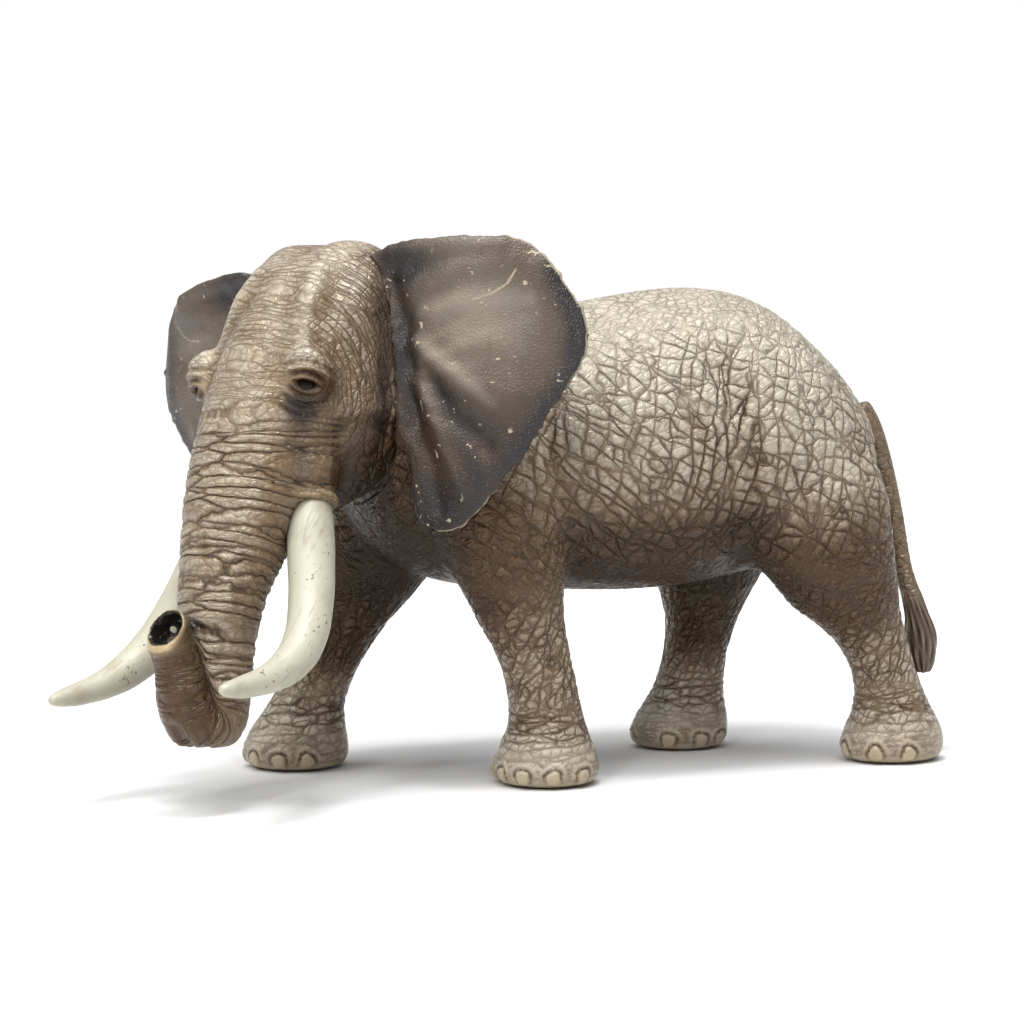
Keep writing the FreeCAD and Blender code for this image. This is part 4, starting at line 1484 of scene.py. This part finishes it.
        # Warm brown: painted shade on downward faces, darker low on the head behind the sheaths, brown
        # paint on the trunk's curl and end and around the eye.
        warm = 1.1 * ease(normal[:, 2], 0.2, -0.6) * ease(ahead, 6.0, -4.0)
        warm += 0.9 * ease(up, -7.0, -23.0) * ease(ahead, 5.0, -9.0) * (1.0 - self.rim(local))
        warm += 0.62 * curl + 0.30 * ease(length, 95.0, 108.0) + self.eye_brown.over(both)
        black, tip_edge = self.mouth(local, normal)
        edge = self.rubbed_edge.over(both) * np.where(local[:, 1] < 0, 1.0, 0.25)
        worn = 0.42 * edge + 0.34 * self.rim(local) / self.rim_height + 0.7 * tip_edge
        worn += self.lip_edge.over(local) * (1.0 - black) + 0.4 * curl * ease(-side, 3.0, 4.2)
        near_body = ease((clay.points - NECK_SEAM) @ NECK_NORMAL, 15.0, 1.0)
        paint = np.column_stack([dark, light, warm])
        *paint_and_shade, shadow = Torso().paint_and_shade(clay.points, clay.normals(), hollow)
        paint += (np.column_stack(paint_and_shade) - paint) * near_body[:, None]
        # Painted shade under the head's downward faces.
        under = 0.9 * ease(normal[:, 2], -0.1, -0.7) * ease(ahead, -2.0, -9.0)
        # Painted shade in recesses and the eye openings, under the head, and near the neck as on the body.
        hollows = np.clip(hollow * 2.6, 0.0, 1.0) + 0.5 * opening + under + shadow * near_body
        return np.clip(paint, 0.0, 1.0), np.clip(np.column_stack([worn, hollows, black]), 0.0, 1.0)


# ------------------------------------------------------------------ ears, tusks and tail
@dataclass
class Ear:
    """A thin bowed ear with soft folds fanning out from its root."""

    side: int
    flare: float
    droop: float
    size: float
    voxel: float = 0.36
    root: tuple[float, float] = (-22.5, 17.0)
    folds: tuple = (
        Ridge(((4, 17, 0), (14, 20.5, 0), (25, 21.5, 0)), 2.6, 0.55),
        Ridge(((5, 11, 0), (16, 10, 0), (27, 12, 0)), 3.0, -0.40),
        Ridge(((4, 6, 0), (14, 0, 0), (24, -4, 0)), 2.6, 0.50),
        Ridge(((5, 3, 0), (12, -7, 0), (18, -13, 0)), 2.2, -0.50),
        Ridge(((4, 0, 0), (9, -10, 0), (12.5, -20, 0)), 2.0, 0.50),
        Ridge(((3, -4, 0), (6, -14, 0), (7.5, -24, 0)), 1.8, -0.45),
        Ridge(((1.0, 18, 0), (3.0, 6, 0), (3.5, -8, 0)), 2.2, -0.8),
        Ridge(((1, 25, 0), (12, 25.4, 0), (23, 24.6, 0)), 2.0, 0.7),
        Ridge(((30, 20, 0), (33, 12, 0), (34.5, 6, 0)), 2.2, 0.35),
    )
    # Pale middle, and painted highlight along the raised folds and the rolled top edge.
    light_spots: tuple = (
        Mound((18, 11, 0), (12, 10, 1), 0.62),
        Mound((14, 25, 0), (14, 4, 1), 0.30),
        Ridge(((5, 8, 0), (12, 3, 0), (20, -5, 0)), 1.5, 0.50),
        Ridge(((5, 4, 0), (9, -8, 0), (12, -19, 0)), 1.5, 0.42),
        Ridge(((6, 13, 0), (17, 15, 0), (28, 14, 0)), 1.8, 0.34),
    )
    dark_spots: tuple = (
        Mound((2.5, 6, 0), (4.0, 14, 1), 0.85),
        Ridge(((34, 18, 0), (37.5, 10, 0), (37, 1, 0), (30, -9, 0), (24, -17, 0)), 3.6, 0.75),
        Mound((4, 22, 0), (8, 4, 1), 0.55),
        Ridge(((12, -3, 0), (20, -11, 0)), 3.0, 0.35),
        Ridge(((9, 0, 0), (13.5, -11, 0), (16, -19, 0)), 1.8, 0.35),
    )
    scratch: Ridge = Ridge(((17.5, 14.6, 0), (21, 15.4, 0), (24, 17, 0), (26, 19.6, 0)), 0.30, 0.8)
    outline: tuple[float, float] = (36.0, 28.0)

    def axes(self) -> Array:
        """Rows: outward along the ear, up it, and the way its inner face looks."""
        flare, droop = math.radians(self.flare), math.radians(self.droop)
        forward, left, up = HEAD.axes()
        level = left * self.side * math.sin(flare) - forward * math.cos(flare)
        facing = forward * math.sin(flare) + left * self.side * math.cos(flare)
        outward = level * math.cos(droop) - up * math.sin(droop)
        upward = up * math.cos(droop) + level * math.sin(droop)
        return np.array([outward, upward, facing])

    def inside(self, points: Array) -> Array:
        """The maker's places given in the ear's frame, at the left ear's size."""
        root = HEAD.outside(np.array([[self.root[0], self.root[1] * self.side, 0.0]]))[0]
        return (points - root) @ self.axes().T / self.size

    def build(self, node: str) -> bpy.types.Mesh:
        """Models one ear from its CAD node."""
        clay = Clay.cast([node], self.voxel)
        clay.points = clay.relaxed(9, 0.5)
        local = self.inside(clay.points)
        flat = local * np.array([1.0, 1.0, 0.0])
        facing = (clay.normals() @ self.axes().T)[:, 2]
        edge_gap = ease(abs(facing), 0.9, 0.35)
        clay.push(relief_of(self.folds, flat) * np.sign(facing) * (1.0 - edge_gap) * 1.5)
        clay.push(self.ripple(flat) * (1.0 - 0.6 * edge_gap) + self.nibbled(flat) * edge_gap)
        mesh = clay.to_mesh(node)
        paint, extra = self.paint_and_shade(clay, flat, facing, edge_gap)
        give(mesh, "paint", paint)
        give(mesh, "extra", extra)
        return mesh

    def paint_and_shade(self, clay: Clay, flat: Array, facing: Array, edge_gap: Array) -> tuple[Array, Array]:
        """Where each coat of paint lies; these also carry painted shade and highlight.

        Args:
            clay: the finished ear.
            flat: places in the ear's frame, laid flat.
            facing: how far the skin looks towards the ear's inner side.
            edge_gap: share of rim.

        Returns:
            The dark, light and warm shares, and the worn and hollow (painted shade) shares with nothing
            after them.
        """
        out, up, _ = self.inside(clay.points).T
        radius = np.hypot(out / self.outline[0], (up - 0.5) / self.outline[1])
        inner = ease(facing, 0.0, 0.5)
        # Painted highlight on the raised folds, with the pale middle.
        light = relief_of(self.light_spots, flat)
        # Darker towards the bottom.
        dark = relief_of(self.dark_spots, flat) + 0.6 * ease(up, -12.0, -27.0) + 0.12
        dark += 0.16 * ease(radius, 0.62, 0.86)
        # The right ear is darker: painted shade on the far ear.
        if self.side < 0:
            light, dark = 0.45 * light, dark + 0.12
        warm = 0.85 * ease(up, 4.0, -18.0) + 0.55 * (1.0 - inner) + 0.28
        worn = (0.75 * ease(radius, 0.80, 1.05) + 0.35 * ease(up, 10.0, 24.0)) * edge_gap
        worn += inner * self.scratch.over(flat)
        paint = np.column_stack([dark * (0.45 + 0.55 * inner), light * inner, warm])
        # Painted shade in the ear's recesses.
        extra = np.column_stack([worn, np.clip(clay.hollow(12) * 1.5, 0.0, 1.0), 0.0 * out])
        return np.clip(paint, 0.0, 1.0), np.clip(extra, 0.0, 1.0)

    def nibbled(self, flat: Array) -> Array:
        """The uneven rim: short waves over the angle round the ear."""
        angle = np.arctan2(flat[:, 1], flat[:, 0] - 15.0)
        return 0.22 * np.sin(angle * 17.0) + 0.16 * np.sin(angle * 41.0 + 1.0) + 0.10 * np.sin(angle * 67.0)

    def ripple(self, flat: Array) -> Array:
        """Fine wrinkles that fan out from the root: a wave over the angle, stronger near the root."""
        angle = np.arctan2(flat[:, 1] - 3.0, flat[:, 0] + 6.0)
        reach = np.hypot(flat[:, 0] + 6.0, flat[:, 1] - 3.0)
        wave = np.sin(angle * 23.0 + 1.7 * np.sin(reach * 0.21)) * np.sin(angle * 9.0 + 0.6)
        return 0.14 * wave * ease(reach, 6.0, 14.0) * ease(reach, 40.0, 22.0)


@dataclass
class Tusk:
    """A painted tusk, slightly uneven along its length."""

    side: int
    voxel: float = 0.30
    axis: tuple[Triple, ...] = (
        (-3.2, 10.4, -22.4), (-0.6, 12.4, -28.0), (2.2, 14.6, -34.0), (5.8, 17.0, -40.6),
        (11.0, 19.4, -47.0), (18.6, 20.9, -51.4), (26.6, 21.4, -53.2), (35.9, 21.5, -53.8),
    )
    length: float = 58.0

    def build(self, node: str) -> bpy.types.Mesh:
        """Models one tusk from its CAD node."""
        clay = Clay.cast([node], self.voxel)
        clay.points = clay.relaxed(6, 0.5)
        local = HEAD.inside(clay.points) * np.array([1.0, self.side, 1.0])
        _, along = along_path(local, list(self.axis))
        clay.push(0.05 * np.sin(along * 0.45) * np.sin(local[:, 0] * 0.6 + 1.0))
        mesh = clay.to_mesh(node)
        tip, root = ease(along, self.length - 14.0, self.length), ease(along, 4.0, 0.0)
        give(mesh, "paint", np.column_stack([tip, root, 0 * tip]))
        give(mesh, "run", np.column_stack([along, local[:, 1], local[:, 2] * 0.3 + local[:, 0] * 0.3]))
        return mesh


@dataclass
class Tail:
    """The tail with its hair-grooved tuft."""

    voxel: float = 0.27
    tuft_top: float = 33.0
    # The middle line from its tip up: height, left and back.
    axis: tuple[Triple, ...] = (
        (17, 9, 66.4), (20, 9, 66.2), (25, 8.6, 65.8), (31, 7.4, 65), (36, 5.6, 64), (45, 3.6, 62.8),
        (55, 1.8, 61.2), (64, 0.6, 58.8), (71, 0, 55.4),
    )

    def build(self, node: str) -> bpy.types.Mesh:
        """Models the tail from its CAD node."""
        clay = Clay.cast([node], self.voxel)
        clay.points = clay.relaxed(6, 0.5)
        x, y, z = clay.points.T
        height, left, back = np.array(self.axis).T
        angle = np.arctan2(y - np.interp(z, height, back), x - np.interp(z, height, left))
        tuft = ease(z, self.tuft_top + 3.0, self.tuft_top - 5.0)
        strand = np.sin(angle * 13.0 + 1.4 * np.sin(z * 0.45 + angle) + z * 0.25)
        hair = strand * (0.6 + 0.4 * np.sin(z * 0.9 + angle * 4.0)) * tuft
        rings = np.sin(z * 3.3 + 0.8 * np.sin(angle * 2.0)) * (1.0 - tuft) * ease(z, 74.0, 60.0)
        clay.push(0.30 * hair + 0.02 * rings + 0.50 * (1.0 - tuft) - 0.05)
        mesh = clay.to_mesh(node)
        give(mesh, Net.FINE.weight_name, 0.5 * (1.0 - tuft))
        dark = 0.22 + 0.40 * tuft - 0.25 * hair * tuft
        light = 0.10 * (1.0 - tuft) + 0.35 * np.clip(hair, 0, 1) * tuft
        give(mesh, "paint", np.clip(np.column_stack([dark, light, 0.25 * (1 - tuft)]), 0, 1))
        # Painted shade in the hair grooves and between the rings.
        groove = np.clip(-hair, 0, 1) * 0.8 * tuft + np.clip(-rings, 0, 1) * 0.35
        give(mesh, "extra", np.clip(np.column_stack([0 * z, groove, 0 * z]), 0, 1))
        return mesh


# ------------------------------------------------------------------ studio
@dataclass(frozen=True)
class Lamp:
    """A square soft light: its place and size in metres, and its power in watts."""

    name: str
    place: Triple
    size: float
    power: float


@dataclass(frozen=True)
class Studio:
    """White table, white surroundings, soft overhead light and the camera."""

    aim: Triple = (2.212, 1.75, 52.0)
    distance: float = 650.0
    azimuth: float = 70.0
    elevation: float = 5.0
    lens: float = 116.5
    surround: float = 0.35          # brightness that the white surroundings cast on the elephant
    glow: float = 3.6               # strength of the wide overhead light, watts per square metre
    glow_width: float = 64.0        # how wide that light is in the sky, in degrees
    glow_heading: Triple = (-0.20, 0.16, -1.0)
    floor_reach: float = 8.0        # metres
    floor_white: float = 0.73
    lamps: tuple[Lamp, ...] = (
        Lamp("overhead", (0.12, -0.06, 0.75), 0.13, 2.3),
        Lamp("side_fill", (0.60, -0.55, 0.55), 0.12, 1.8),
        Lamp("front_spark", (0.22, -0.80, 0.50), 0.09, 1.3),
    )

    def build(self) -> None:
        """Sets up floor, lights, surroundings and camera."""
        self._floor()
        bpy.context.scene.view_settings.view_transform = "Standard"
        self._sky_glow()
        for lamp in self.lamps:
            self._light(lamp)
        world = bpy.data.worlds.new("studio_white")
        bpy.context.scene.world = world
        world.use_nodes = True
        bench = Bench(world.node_tree)
        seen = bench.lay("ShaderNodeLightPath", {}, {}, "Is Camera Ray")
        white = world.node_tree.nodes["Background"]
        white.inputs["Color"].default_value = (1.0, 1.0, 1.0, 1.0)
        strength = seen * (1.0 - self.surround) + self.surround
        world.node_tree.links.new(strength.socket, white.inputs["Strength"])
        self._camera()

    def _floor(self) -> None:
        """The plain pale floor."""
        mesh = bpy.data.meshes.new("floor")
        signs = ((-1, -1), (1, -1), (1, 1), (-1, 1))
        corners = [(x * self.floor_reach, y * self.floor_reach, 0) for x, y in signs]
        mesh.from_pydata(corners, [], [(0, 1, 2, 3)])
        floor = set_up("floor", mesh)
        material = bpy.data.materials.new("floor_white")
        material.use_nodes = True
        shader = material.node_tree.nodes["Principled BSDF"]
        shader.inputs["Base Color"].default_value = (*[self.floor_white] * 3, 1.0)
        shader.inputs["Roughness"].default_value = 0.8
        mesh.materials.append(material)

    def _sky_glow(self) -> None:
        """Even light from a wide patch of sky, the same over the whole floor."""
        data = bpy.data.lights.new("sky_glow", "SUN")
        data.energy = self.glow
        data.angle = math.radians(self.glow_width)
        lamp = set_up("sky_glow", data)
        lamp.rotation_euler = Vector(self.glow_heading).to_track_quat("-Z", "Y").to_euler()

    def _light(self, lamp: Lamp) -> None:
        """A square soft light that looks at the elephant."""
        data = bpy.data.lights.new(lamp.name, "AREA")
        data.size, data.energy = lamp.size, lamp.power
        light = set_up(lamp.name, data)
        light.location = lamp.place
        look = Vector(self.aim) / MM - Vector(lamp.place)
        light.rotation_euler = look.to_track_quat("-Z", "Y").to_euler()

    def _camera(self) -> None:
        """The camera, on a line from the aim point at the azimuth and elevation."""
        azimuth, elevation = math.radians(self.azimuth), math.radians(self.elevation)
        level = math.cos(elevation)
        back = Vector((math.sin(azimuth) * level, -math.cos(azimuth) * level, math.sin(elevation)))
        data = bpy.data.cameras.new("camera")
        data.lens = self.lens
        data.sensor_width = 36.0
        data.clip_start = 0.01
        camera = set_up("camera", data)
        camera.location = (Vector(self.aim) + back * self.distance) / MM
        camera.rotation_euler = (-back).to_track_quat("-Z", "Y").to_euler()
        bpy.context.scene.camera = camera


def main() -> None:
    """Builds the elephant piece by piece, then the studio."""
    hide = HidePaint("body_hide", HIDE_NETS).make()
    face = HidePaint("head_hide", HEAD_NETS).make()
    tail_hide = HidePaint("tail_hide", (Net.FINE,)).make()
    ear_hide, cream, gloss = EarPaint().make(), IvoryPaint().make(), EyePaint().make()
    for node, mesh in Torso().build().items():
        placed(mesh, node.replace("_half", "_skin"), hide, node)
    head = HeadForm()
    placed(head.build(), "head_skin", face, "head")
    for side, name, flare, droop, size in ((1, "left", 72.0, 0.0, 1.0), (-1, "right", 77.0, 9.0, 0.918)):
        ear = Ear(side, flare, droop, size)
        placed(ear.build(name + "_ear"), name + "_ear_skin", ear_hide, name + "_ear")
        placed(Tusk(side).build(name + "_tusk"), name + "_tusk_skin", cream, name + "_tusk")
        placed(head.eye.ball(side, head.eye_skin), name + "_eye", gloss)
    placed(Tail().build("tail"), "tail_skin", tail_hide, "tail")
    Studio().build()


if __name__ == "__main__":
    main()
